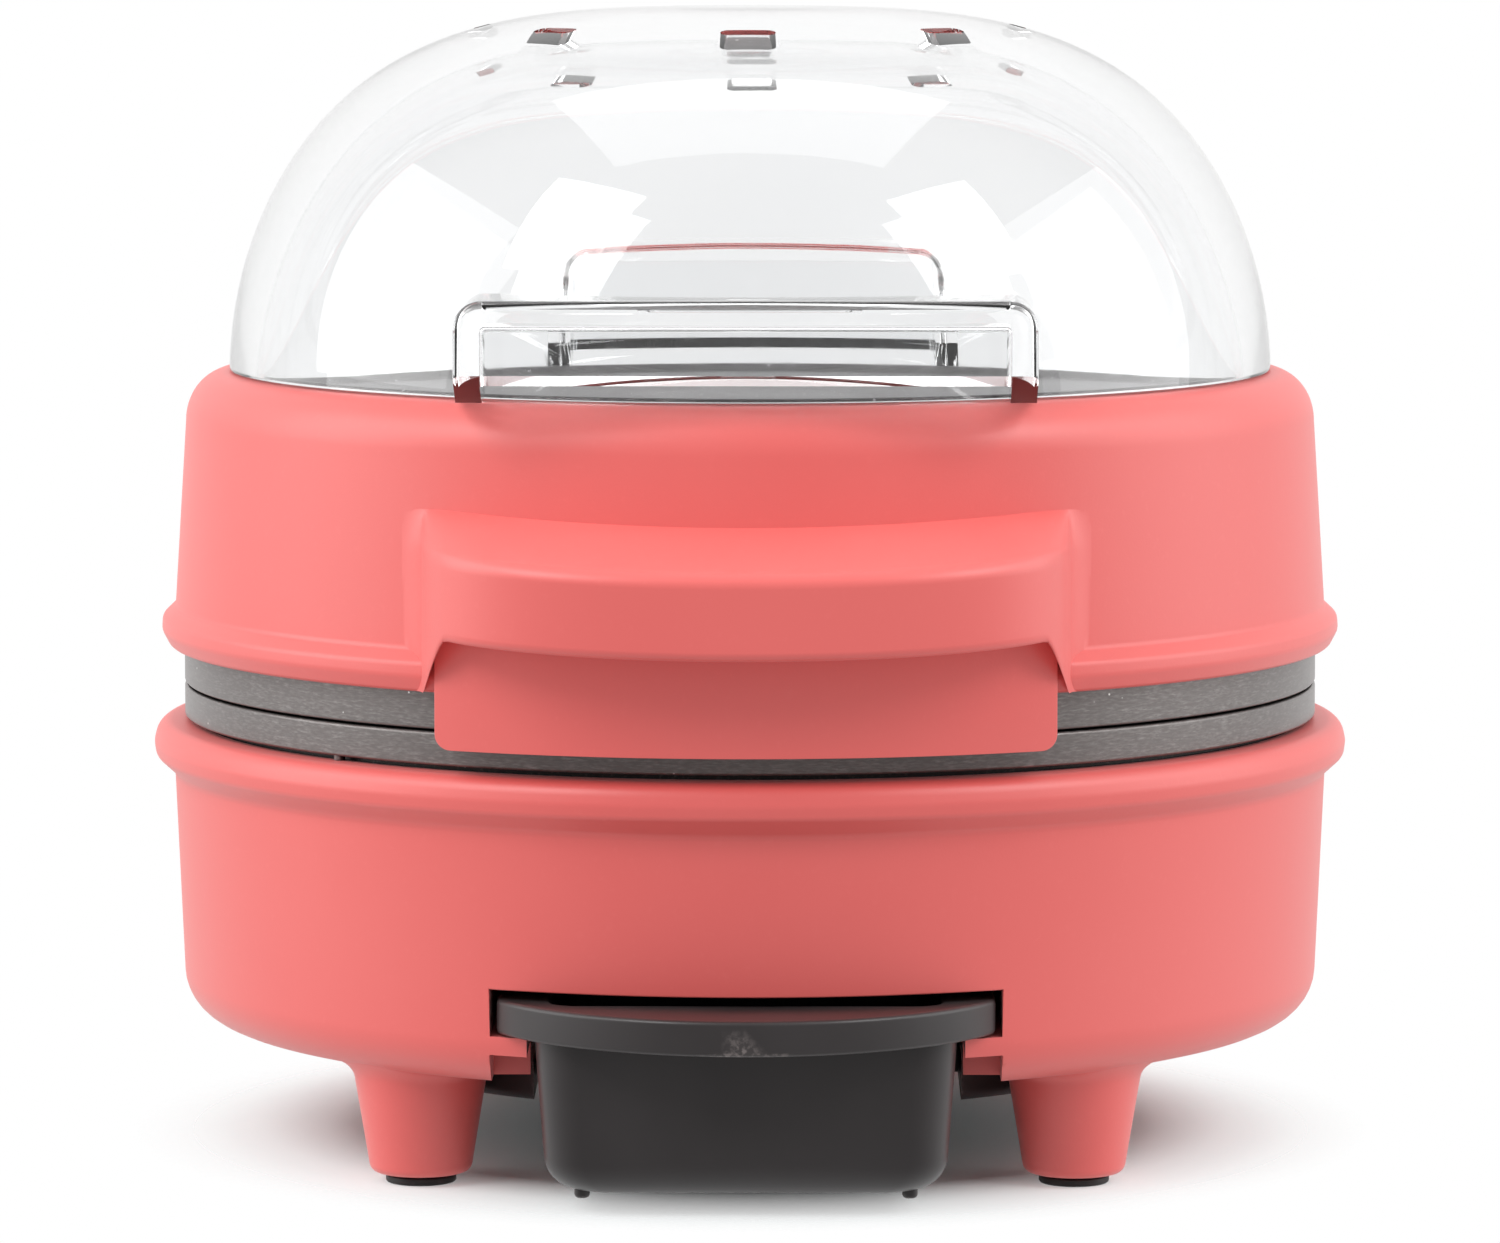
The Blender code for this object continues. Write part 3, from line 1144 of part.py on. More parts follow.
def handle_plan_outline(inset=0.0):
    """Plan of the front handle: a soft rounded bow, as (X, Y) pairs."""
    half = HANDLE_HALF_WIDTH - inset
    depth = REACH + HANDLE_ROOT_Y - inset
    steps = ROUND_STEPS // 2
    points = []
    for i in range(steps + 1):
        a = math.pi * i / steps
        c, s = math.cos(a), math.sin(a)
        across = half * math.copysign(abs(c) ** (2 / HANDLE_POWER), c)
        points.append((across, HANDLE_ROOT_Y - depth * s ** (2 / HANDLE_POWER)))
    root = HANDLE_ROOT_Y + OVERRUN * 2
    return [(half, root)] + points + [(-half, root)]


def make_handle_tool():
    middle = (HANDLE_TOP_Z + HANDLE_LIP_Z) / 2
    handle = extruded("handle_tool", handle_side_outline(), HANDLE_HALF_WIDTH + OVERRUN, 'YZ')
    keep(handle, extruded("handle_plan", handle_plan_outline(), HANDLE_TOP_Z - HANDLE_LIP_Z, 'XY', middle))
    return handle


def make_skirt_tool():
    """The curved tongue below the handle that hangs in front of both plates."""
    top, low = SKIRT_TOP_Z, SKIRT_BOTTOM_Z
    inner = SKIRT_RADIUS - SKIRT_THICKNESS
    ring = turned("skirt_tool", [(inner, top), (SKIRT_RADIUS, top), (SKIRT_RADIUS, low), (inner, low)], True)
    half, r = SKIRT_HALF_WIDTH, SKIRT_CORNER
    low -= GAP
    outline = ([(half, top + OVERRUN), (-half, top + OVERRUN)]
               + arc((-half + r, low + r), r, 180, 270, BEAD_STEPS // 2)
               + arc((half - r, low + r), r, 270, 360, BEAD_STEPS // 2))
    keep(ring, extruded("skirt_window", outline, SKIRT_RADIUS / 2, 'XZ', -SKIRT_RADIUS))
    return ring


def make_lid_housing():
    lid = turned("lid_housing", lid_shell_profile(), False, coral())
    handle = make_handle_tool()
    knuckle = extruded("knuckle_tool", lid_knuckle_outline(), KNUCKLE_END_X, 'YZ')
    into_wall = GAP / 2
    inner_low = LID_LOW_RADIUS - LID_WALL + into_wall
    inner_high = LID_HIGH_RADIUS - LID_WALL + into_wall
    step_z = UPPER_FLANGE_Z + GAP + into_wall
    rebate = PLATE_RADIUS + GAP + into_wall
    hollow = turned("lid_hollow", [
        (0.0, LID_SHOULDER_Z - GAP),
        (inner_high, LID_SHOULDER_Z - GAP),
        (inner_low, step_z),
        (rebate, step_z),
        (rebate, LID_BOTTOM_Z - OVERRUN),
        (0.0, LID_BOTTOM_Z - OVERRUN),
    ], False)
    cut(handle, hollow)
    cut(knuckle, hollow)
    join(lid, handle, make_skirt_tool(), knuckle)

    pocket = extruded("handle_pocket", handle_side_outline(HANDLE_WALL), HANDLE_HALF_WIDTH + OVERRUN, 'YZ')
    keep(pocket, extruded("pocket_plan", handle_plan_outline(HANDLE_WALL), HANDLE_TOP_Z - HANDLE_LIP_Z, 'XY',
                          HANDLE_TOP_Z))
    cut(pocket, box("pocket_floor", (-REACH, -REACH, LID_BOTTOM_Z),
                    (REACH, 0.0, SKIRT_TOP_Z + HANDLE_POCKET_RISE)))
    cut(lid, pocket)

    above = LID_DECK_TOP_Z + OVERRUN
    for angle in LID_POST_ANGLES:
        join(lid, rod("lid_post", POST_RADIUS, around(POST_CIRCLE, angle, LID_POST_BOTTOM_Z),
                      around(POST_CIRCLE, angle, LID_DECK_BOTTOM_Z + LID_DECK / 2)))
    for angle in LID_POST_ANGLES:
        low = around(POST_CIRCLE, angle, LID_POST_BOTTOM_Z - OVERRUN)
        seat = around(POST_CIRCLE, angle, LID_SCREW_SEAT_Z)
        high = around(POST_CIRCLE, angle, above)
        cut(lid, bore("lid_screw_hole", SCREW_RADIUS + GAP, low, high),
            bore("lid_head_hole", SCREW_HEAD_RADIUS + GAP, seat, high))
    for angle in WARMER_SCREW_ANGLES:
        low = around(WARMER_SCREW_CIRCLE, angle, LID_DECK_BOTTOM_Z - OVERRUN)
        high = around(WARMER_SCREW_CIRCLE, angle, above)
        cut(lid, bore("warmer_screw_hole", SCREW_RADIUS + GAP, low, high))
    below = LID_DECK_BOTTOM_Z - OVERRUN
    cut(lid, bore("deck_hole", ELEMENT_RING_RADIUS, (0.0, 0.0, below), (0.0, 0.0, above),
                  steps=ROUND_STEPS // 2))
    pin_hole = PIN_RADIUS + PIN_CLEARANCE
    cut(lid, bore("knuckle_hole", pin_hole, (-EAR_INNER_X - OVERRUN, HINGE_Y, HINGE_Z),
                  (EAR_INNER_X + OVERRUN, HINGE_Y, HINGE_Z), steps=SMALL_STEPS * 2))
    cut(lid, bore("wireway_lid", LEAD_RADIUS + WIRE_BORE_CLEARANCE, *lid_wire_bore()))
    return lid


def make_warming_plate():
    low_z = LID_DECK_TOP_Z + GAP
    top_z = low_z + WARMER_RISE
    sheet_low = top_z - WARMER_SHEET
    profile = [
        (0.0, top_z),
        (WARMER_RADIUS - WARMER_RIM * 4, top_z),
        (WARMER_RADIUS - WARMER_RIM * 2, top_z + WARMER_RIM),
        (WARMER_RADIUS, top_z + WARMER_RIM),
        (WARMER_RADIUS, low_z),
        (WARMER_RADIUS - WARMER_SHEET, low_z),
        (WARMER_RADIUS - WARMER_SHEET, sheet_low),
        (0.0, sheet_low),
    ]
    plate = turned("warming_plate", profile, False, cast_plate())
    for angle in WARMER_SCREW_ANGLES:
        join(plate, rod("warmer_boss", WARMER_BOSS_RADIUS, around(WARMER_SCREW_CIRCLE, angle, low_z),
                        around(WARMER_SCREW_CIRCLE, angle, sheet_low + WARMER_SHEET / 2)))
    thread_top = LID_DECK_BOTTOM_Z - GAP + WARMER_SCREW_LENGTH + GAP / 3
    for angle in WARMER_SCREW_ANGLES:
        mouth = around(WARMER_SCREW_CIRCLE, angle, low_z - OVERRUN)
        end = around(WARMER_SCREW_CIRCLE, angle, min(thread_top, top_z - WARMER_SHEET / 4))
        cut(plate, bore("warmer_thread", SCREW_RADIUS + GAP / 2, mouth, end))
    return plate


def dome_points(radius, height, base_z, steps):
    """Half section of the dome from its crown down to its foot."""
    points = []
    for i in range(steps + 1):
        a = math.pi / 2 * i / steps
        r = radius * math.sin(a) ** (2 / DOME_SIDE_POWER)
        z = base_z + height * math.cos(a) ** (2 / DOME_TOP_POWER)
        points.append((max(r, 0.0), z))
    points[0] = (0.0, base_z + height)
    points[-1] = (radius, base_z)
    return points


def grip_outline(way, height, inset, run_down):
    """Side view of a grip as (Y, Z) pairs, towards way, with its lower edge sloping up to the lip."""
    reach = way * (GRIP_REACH - inset)
    root = way * GRIP_ROOT
    top = DOME_BASE_Z + height - inset
    low = DOME_BASE_Z - run_down
    outline = [(root, low), (root, top), (reach, top)]
    if run_down:
        outline.append((reach, low))
    else:
        outline += [(reach, DOME_BASE_Z + GRIP_LIP_RISE), (reach - way * GRIP_LIP_SETBACK, low)]
    return outline if way > 0 else outline[::-1]


def grip_front(half_width, height, inset):
    """Front view of a grip as (X, Z) pairs, with its two upper corners rounded."""
    half = half_width - inset
    r = max(GRIP_CORNER - inset, GAP)
    top = DOME_BASE_Z + height - inset
    low = DOME_BASE_Z - OVERRUN * 2
    return ([(half, low)] + arc((half - r, top - r), r, 0, 90, BEAD_STEPS // 2)
            + arc((-half + r, top - r), r, 90, 180, BEAD_STEPS // 2) + [(-half, low)])


def make_grip(name, way, half_width, height):
    """A box-shaped moulded finger grip on the dome, open below."""
    grip = extruded(name, grip_outline(way, height, 0.0, 0.0), half_width + OVERRUN, 'YZ')
    window = grip_front(half_width, height, 0.0)
    keep(grip, extruded(name + "_window", window, GRIP_REACH, 'XZ', way * GRIP_REACH))
    pocket = extruded(name + "_pocket", grip_outline(way, height, GRIP_WALL, OVERRUN), half_width, 'YZ')
    window = grip_front(half_width, height, GRIP_WALL)
    keep(pocket, extruded(name + "_pocket_window", window, GRIP_REACH, 'XZ', way * GRIP_REACH))
    cut(grip, pocket)
    return grip


def make_dome():
    outer = dome_points(DOME_RADIUS, DOME_HEIGHT, DOME_BASE_Z, DOME_STEPS)
    dome = turned("dome_cover", outer + [(0.0, DOME_BASE_Z)], False, clear_plastic())
    join(dome, make_grip("front_grip", -1, FRONT_GRIP_HALF_WIDTH, FRONT_GRIP_HEIGHT),
         make_grip("rear_grip", 1, REAR_GRIP_HALF_WIDTH, REAR_GRIP_HEIGHT))
    inner = dome_points(DOME_RADIUS - DOME_WALL, DOME_HEIGHT - DOME_CROWN + OVERRUN, DOME_BASE_Z - OVERRUN,
                        DOME_STEPS)
    cut(dome, turned("dome_hollow", inner + [(0.0, DOME_BASE_Z - OVERRUN)], False))
    for index in range(STEAM_SLOT_COUNT):
        slot = box("steam_slot", (-STEAM_SLOT_LENGTH / 2, -STEAM_SLOT_WIDTH / 2, -DOME_CROWN - OVERRUN),
                   (STEAM_SLOT_LENGTH / 2, STEAM_SLOT_WIDTH / 2, OVERRUN))
        angle = 2 * math.pi * index / STEAM_SLOT_COUNT - math.pi / 2
        slot.location = around(STEAM_SLOT_CIRCLE, angle, DOME_BASE_Z + DOME_HEIGHT - DOME_CROWN / 2)
        slot.rotation_euler = (0.0, 0.0, angle + math.pi / 2)
        cut(dome, slot)
    return dome


def tray_lip_outline():
    """Plan of the tray's top: straight sides and back, and a bowed front, as (X, Y) pairs."""
    half = TRAY_LIP_HALF_WIDTH
    bow_depth = half * TRAY_LIP_BOW_SHARE
    radius = (half * half + bow_depth * bow_depth) / (2 * bow_depth)
    centre_y = TRAY_FRONT_Y + radius
    swing = math.degrees(math.asin(half / radius))
    bow = arc((0.0, centre_y), radius, 270 - swing, 270 + swing, ROUND_STEPS // 3)
    return bow + [(half, TRAY_BACK_Y), (-half, TRAY_BACK_Y)]


def tray_body_outline(inset):
    half = TRAY_BODY_HALF_WIDTH - inset
    front = TRAY_BODY_FRONT_Y + inset
    back = TRAY_BACK_Y - inset
    r = max(TRAY_CORNER - inset, TRAY_WALL)
    steps = BEAD_STEPS // 2
    return (arc((-half + r, front + r), r, 180, 270, steps) + arc((half - r, front + r), r, 270, 360, steps)
            + arc((half - r, back - r), r, 0, 90, steps) + arc((-half + r, back - r), r, 90, 180, steps))


def make_drip_tray():
    """An open box with a bowed lip that slides on the bay's rails."""
    tray = extruded("drip_tray", tray_lip_outline(), TRAY_LIP_THICKNESS / 2, 'XY',
                    (TRAY_LIP_TOP_Z + TRAY_LIP_BOTTOM_Z) / 2, dark_plastic())
    lip_middle = TRAY_LIP_BOTTOM_Z + TRAY_LIP_THICKNESS / 2
    join(tray, tapered_box("tray_body", 0.0, TRAY_BOTTOM_Z, lip_middle, TRAY_LOWER_EDGE))
    nub_x = TRAY_BODY_HALF_WIDTH - TRAY_NUB_SIDE
    for side in (-1, 1):
        for y in (TRAY_BODY_FRONT_Y + TRAY_NUB_INSET, TRAY_BACK_Y - TRAY_NUB_INSET):
            nub_top = (nub_x * side, y, TRAY_BOTTOM_Z + TRAY_FLOOR / 2)
            nub_bottom = (nub_x * side, y, TRAY_BOTTOM_Z - TRAY_NUB_RADIUS)
            join(tray, rod("tray_nub", TRAY_NUB_RADIUS, nub_top, nub_bottom))
    cut(tray, tapered_box("tray_hollow", TRAY_WALL, TRAY_BOTTOM_Z + TRAY_FLOOR, TRAY_LIP_TOP_Z + OVERRUN,
                          TRAY_LOWER_EDGE - TRAY_FLOOR))
    return tray


def tapered_box(name, inset, low_z, high_z, lower_edge):
    """A rounded box that narrows downwards, with a rounded lower edge: stacked plan outlines, skinned."""
    levels = []
    depth = TRAY_LIP_TOP_Z - TRAY_BOTTOM_Z
    steps = BEAD_STEPS // 2
    for i in range(steps + 1):
        a = math.pi / 2 * i / steps
        levels.append((low_z + lower_edge * (1 - math.cos(a)), lower_edge * (1 - math.sin(a))))
    levels.append((high_z, 0.0))
    bm = bmesh.new()
    rings = []
    for z, pull in levels:
        draft = TRAY_BODY_DRAFT * (TRAY_LIP_TOP_Z - z) / depth
        outline = tray_body_outline(inset + pull + max(draft, 0.0))
        rings.append([bm.verts.new((x, y, z)) for x, y in outline])
    for lower, upper in zip(rings, rings[1:]):
        count = len(lower)
        for i in range(count):
            bm.faces.new((lower[i], lower[(i + 1) % count], upper[(i + 1) % count], upper[i]))
    bm.faces.new(rings[0][::-1])
    bm.faces.new(rings[-1])
    bmesh.ops.recalc_face_normals(bm, faces=bm.faces)
    return from_bmesh(name, bm)


def build():
    clear_scene()
    make_collections()
    base = [make_base_housing()]
    base += make_foot_pads()
    base += [make_lower_plate(), make_lower_element()]
    base.append(make_reflector("lower_reflector", LOWER_REFLECTOR_TOP_Z, 1, POST_ANGLES, True))
    base.append(make_thermostat("base_thermostat", LOWER_REFLECTOR_TOP_Z + GAP, LOWER_PLATE_BACK_Z - GAP,
                                ceramic()))
    base.append(make_thermal_fuse())
    base += make_screws("lower_plate_screw", POST_CIRCLE, POST_ANGLES, BASE_SCREW_SEAT_Z - GAP,
                        SCREW_SEAT + REFLECTOR_SHEET + SCREW_GRIP + GAP, SCREW_HEAD)
    base.append(make_bottom_cover())
    base += make_screws("cover_screw", COVER_SCREW_CIRCLE, COVER_SCREW_ANGLES, COVER_BOTTOM_Z + SCREW_HEAD,
                        COVER_TOP_Z - COVER_BOTTOM_Z - SCREW_HEAD + SCREW_GRIP, SCREW_HEAD)
    base += [make_terminal_block(), make_cord_bush(), make_grease_chute()]
    base += make_hinge_pins()
    base += make_base_leads()

    lid = [make_lid_housing(), make_upper_plate(), make_upper_element()]
    lid.append(make_reflector("upper_reflector", UPPER_REFLECTOR_BOTTOM_Z, -1, LID_POST_ANGLES, False))
    lid.append(make_thermostat("upper_thermostat", UPPER_PLATE_BACK_Z + GAP, UPPER_REFLECTOR_BOTTOM_Z - GAP,
                               ceramic()))
    lid += make_screws("upper_plate_screw", POST_CIRCLE, LID_POST_ANGLES, LID_SCREW_SEAT_Z + GAP,
                       SCREW_SEAT + REFLECTOR_SHEET + SCREW_GRIP + GAP, SCREW_HEAD, True)
    lid.append(make_warming_plate())
    lid += make_screws("warming_plate_screw", WARMER_SCREW_CIRCLE, WARMER_SCREW_ANGLES,
                       LID_DECK_BOTTOM_Z - GAP, WARMER_SCREW_LENGTH - GAP, WARMER_SCREW_HEAD)
    lid.append(make_lid_lead())

    dome = [make_dome()]
    tray = [make_drip_tray()]

    lid_pivot = pivot("lid_pivot", (0.0, HINGE_Y, HINGE_Z))
    dome_seat = pivot("dome_seat", (0.0, 0.0, DOME_BASE_Z))
    tray_runner = pivot("tray_runner", (0.0, TRAY_BACK_Y, RAIL_TOP_Z))
    hang_on(lid_pivot, lid + [dome_seat])
    hang_on(dome_seat, dome)
    hang_on(tray_runner, tray)
    for piece in base + lid + dome + tray:
        soften(piece)


build()
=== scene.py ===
from math import acos, ceil, cos, degrees, pi, radians, sin, sqrt, tan

import bmesh
import bpy
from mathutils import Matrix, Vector


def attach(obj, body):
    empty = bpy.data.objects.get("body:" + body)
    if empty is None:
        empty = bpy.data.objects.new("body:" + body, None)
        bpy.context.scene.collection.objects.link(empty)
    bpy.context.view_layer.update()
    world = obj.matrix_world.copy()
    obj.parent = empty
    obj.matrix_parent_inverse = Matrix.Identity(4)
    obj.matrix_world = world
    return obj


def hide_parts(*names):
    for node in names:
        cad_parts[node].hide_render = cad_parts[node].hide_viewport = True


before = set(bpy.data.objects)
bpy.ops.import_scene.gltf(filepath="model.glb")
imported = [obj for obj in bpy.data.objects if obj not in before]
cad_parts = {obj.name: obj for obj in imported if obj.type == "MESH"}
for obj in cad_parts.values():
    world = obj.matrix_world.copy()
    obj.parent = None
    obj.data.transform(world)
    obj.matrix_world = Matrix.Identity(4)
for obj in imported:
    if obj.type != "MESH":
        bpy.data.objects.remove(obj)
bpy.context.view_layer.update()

mm = 0.001            # every size below is in millimetres
roundSteps = 192      # facets round the large turned shells
smallSteps = 40       # facets round legs, bosses and screws
cutRun = 4.0          # how far a cutting tool runs past what it cuts


# Working helpers

def pick(*pieces):
    if bpy.context.mode != 'OBJECT':
        bpy.ops.object.mode_set(mode='OBJECT')
    bpy.ops.object.select_all(action='DESELECT')
    for piece in pieces:
        piece.select_set(True)
        bpy.context.view_layer.objects.active = piece


def edit(piece, kind='VERT', everything=True):
    pick(piece)
    bpy.ops.object.mode_set(mode='EDIT')
    bpy.ops.mesh.select_mode(type=kind)
    bpy.ops.mesh.select_all(action='SELECT' if everything else 'DESELECT')


def done():
    bpy.ops.object.mode_set(mode='OBJECT')


def rounded(corners, closed=False, turn=radians(10)):
    # corners are (a, b) or (a, b, radius); each radius becomes an arc with a point every turn
    points = []
    last = len(corners) - 1
    for index, corner in enumerate(corners):
        here = Vector(corner[:2])
        radius = corner[2] if len(corner) > 2 else 0
        if not radius or (not closed and index in (0, last)):
            points.append(tuple(here))
            continue
        back = (Vector(corners[index - 1][:2]) - here).normalized()
        ahead = (Vector(corners[(index + 1) % len(corners)][:2]) - here).normalized()
        half = back.angle(ahead) / 2
        centre = here + (back + ahead).normalized() * radius / sin(half)
        start = here + back * radius / tan(half) - centre
        end = here + ahead * radius / tan(half) - centre
        steps = max(2, ceil((pi - 2 * half) / turn))
        points += [tuple(centre + start.slerp(end, k / steps) * radius) for k in range(steps + 1)]
    return points


def drawLine(name, points):
    # one vertex, extruded from point to point
    pick()
    bpy.ops.mesh.primitive_plane_add(size=mm)
    piece = bpy.context.object
    piece.name = name
    edit(piece)
    bpy.ops.mesh.merge(type='CENTER')
    bpy.ops.transform.translate(value=Vector(points[0]) * mm)
    for here, there in zip(points, points[1:]):
        step = (Vector(there) - Vector(here)) * mm
        bpy.ops.mesh.extrude_region_move(TRANSFORM_OT_translate={'value': step})
    done()
    return piece


def turned(name, corners, steps=roundSteps, centre=(0, 0, 0), along='Z'):
    # a profile of (radius, height) corners, spun round an upright axis, or one that runs to the rear
    if along == 'Z':
        points = [(centre[0] + r, centre[1], centre[2] + h) for r, h in rounded(corners)]
    else:
        points = [(centre[0] + r, centre[1] + h, centre[2]) for r, h in rounded(corners)]
    piece = drawLine(name, points)
    edit(piece)
    bpy.ops.mesh.spin(steps=steps, angle=2 * pi, center=Vector(centre) * mm,
                      axis=(0, 0, 1) if along == 'Z' else (0, 1, 0))
    bpy.ops.mesh.select_all(action='SELECT')
    bpy.ops.mesh.remove_doubles(threshold=0.01 * mm)
    bpy.ops.mesh.normals_make_consistent(inside=False)
    done()
    return piece


def slab(name, outline, plane, low, high):
    # a closed outline drawn flat in one plane, then pushed out to its thickness
    place = {'XY': lambda a, b: (a, b, low), 'YZ': lambda a, b: (low, a, b), 'XZ': lambda a, b: (a, low, b)}[plane]
    push = {'XY': (0, 0, high - low), 'YZ': (high - low, 0, 0), 'XZ': (0, high - low, 0)}[plane]
    piece = drawLine(name, [place(a, b) for a, b in rounded(outline, True)])
    edit(piece)
    bpy.ops.mesh.edge_face_add()
    bpy.ops.mesh.extrude_region_move(TRANSFORM_OT_translate={'value': Vector(push) * mm})
    bpy.ops.mesh.select_all(action='SELECT')
    bpy.ops.mesh.normals_make_consistent(inside=False)
    done()
    return piece


def block(name, low, high):
    outline = [(low[0], low[1]), (high[0], low[1]), (high[0], high[1]), (low[0], high[1])]
    return slab(name, outline, 'XY', low[2], high[2])


def pillar(name, place, radius, low, high, steps=smallSteps):
    return turned(name, [(0, high), (radius, high), (radius, low), (0, low)], steps, (*place, 0))


def copyOf(piece, name):
    pick(piece)
    bpy.ops.object.duplicate(linked=False)
    bpy.context.object.name = name
    return bpy.context.object


def shift(piece, x=0, y=0, z=0):
    pick(piece)
    bpy.ops.transform.translate(value=(x * mm, y * mm, z * mm))
    bpy.ops.object.transform_apply(location=True, rotation=False, scale=False)
    return piece


def combine(piece, tool, how):
    pick(piece)
    change = piece.modifiers.new(how, 'BOOLEAN')
    change.operation = how
    change.object = tool
    bpy.ops.object.modifier_apply(modifier=change.name)
    bpy.data.objects.remove(tool)
    return piece


def join(piece, *tools):
    for tool in tools:
        combine(piece, tool, 'UNION')
    return piece


def cut(piece, *tools):
    for tool in tools:
        combine(piece, tool, 'DIFFERENCE')
    return piece


def keep(piece, tool):
    return combine(piece, tool, 'INTERSECT')


def softenWhere(piece, width, test=None, segments=3, sharper=25):
    # bevels the sharp edges whose middle point passes the test
    edit(piece, 'EDGE', False)
    mesh = bmesh.from_edit_mesh(piece.data)
    for edge in mesh.edges:
        middle = (edge.verts[0].co + edge.verts[1].co) / (2 * mm)
        if edge.calc_face_angle(0) > radians(sharper) and (test is None or test(middle)):
            edge.select_set(True)
    bmesh.update_edit_mesh(piece.data)
    bpy.ops.mesh.bevel(offset=width * mm, segments=segments, profile=0.5, affect='EDGES', clamp_overlap=True)
    done()
    return piece


def finished(piece, material, body, slot, *nodes, angle=32, weighted=True):
    # the last steps for every piece: clean mesh, smooth shading, finish and place in the frame
    edit(piece)
    bpy.ops.mesh.remove_doubles(threshold=0.002 * mm)
    bpy.ops.mesh.delete_loose()
    done()
    pick(piece)
    bpy.ops.object.transform_apply(location=True, rotation=True, scale=True)
    bpy.ops.object.shade_smooth_by_angle(angle=radians(angle))
    if weighted:
        even = piece.modifiers.new('even shading', 'WEIGHTED_NORMAL')
        even.keep_sharp = True
        bpy.ops.object.modifier_apply(modifier=even.name)
    piece.data.materials.clear()
    piece.data.materials.append(material)
    if nodes:
        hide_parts(*nodes)
    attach(piece, body)
    return piece


# Material helpers

def newMaterial(name, **settings):
    material = bpy.data.materials.new(name)
    material.use_nodes = True
    shader = material.node_tree.nodes['Principled BSDF']
    for key, value in settings.items():
        shader.inputs[key.replace('_', ' ')].default_value = value
    return material, shader


def add(material, kind, links=None, **values):
    # a node with its values set and its inputs linked
    made = material.node_tree.nodes.new('ShaderNode' + kind)
    for key, value in values.items():
        if hasattr(made, key):
            setattr(made, key, value)
        else:
            made.inputs[key.replace('_', ' ')].default_value = value
    for key, source in (links or {}).items():
        material.node_tree.links.new(source, made.inputs[key])
    return made


def link(material, source, socket):
    material.node_tree.links.new(source, socket)


def objectPlace(material):
    return add(material, 'TexCoord').outputs['Object']


def mapRange(material, source, low, high, toLow, toHigh):
    links = {'Value': source}
    made = add(material, 'MapRange', links)
    for key, value in (('From Min', low), ('From Max', high), ('To Min', toLow), ('To Max', toHigh)):
        made.inputs[key].default_value = value
    return made.outputs['Result']


def maths(material, operation, first, second=None):
    made = add(material, 'Math', operation=operation)
    for index, value in enumerate((first, second)):
        if value is None:
            continue
        if isinstance(value, (int, float)):
            made.inputs[index].default_value = value
        else:
            link(material, value, made.inputs[index])
    return made.outputs[0]


def mixColour(material, factor, first, second):
    made = add(material, 'Mix', data_type='RGBA')
    for socket, value in ((made.inputs[0], factor), (made.inputs[6], first), (made.inputs[7], second)):
        if isinstance(value, (int, float)):
            socket.default_value = value
        elif isinstance(value, tuple):
            socket.default_value = (*value, 1)
        else:
            link(material, value, socket)
    return made.outputs[2]


def noise(material, place, scale, detail=2.0, roughness=0.5, distortion=0.0):
    made = add(material, 'TexNoise', {'Vector': place}, Scale=scale, Detail=detail, Roughness=roughness,
               Distortion=distortion)
    return made.outputs['Fac']


def stretched(material, place, x, y, z):
    made = add(material, 'Mapping', {'Vector': place})
    made.inputs['Scale'].default_value = (x, y, z)
    return made.outputs['Vector']


def bump(material, shader, height, strength, depth, normal=None):
    made = add(material, 'Bump', {'Height': height}, Strength=strength, Distance=depth * mm)
    if normal is not None:
        link(material, normal, made.inputs['Normal'])
    link(material, made.outputs['Normal'], shader.inputs['Normal'])
    return made.outputs['Normal']


def aroundAxis(material, place):
    # wraps the pattern round the body: X along the rim, Y the radius, Z the height
    parts = add(material, 'SeparateXYZ', {'Vector': place})
    turn = maths(material, 'ARCTAN2', parts.outputs['Y'], parts.outputs['X'])
    square = maths(material, 'ADD', maths(material, 'MULTIPLY', parts.outputs['X'], parts.outputs['X']),
                   maths(material, 'MULTIPLY', parts.outputs['Y'], parts.outputs['Y']))
    radius = maths(material, 'SQRT', square)
    made = add(material, 'CombineXYZ', {'X': turn, 'Y': radius, 'Z': parts.outputs['Z']})
    return made.outputs['Vector'], radius, parts.outputs['Z']


coral = {
    'colour': (0.790, 0.118, 0.108),
    'paler': (0.840, 0.155, 0.142),
    'roughness': 0.43,
    'grain': 0.27,          # width of one moulded pebble
    'grainDepth': 0.012,
}


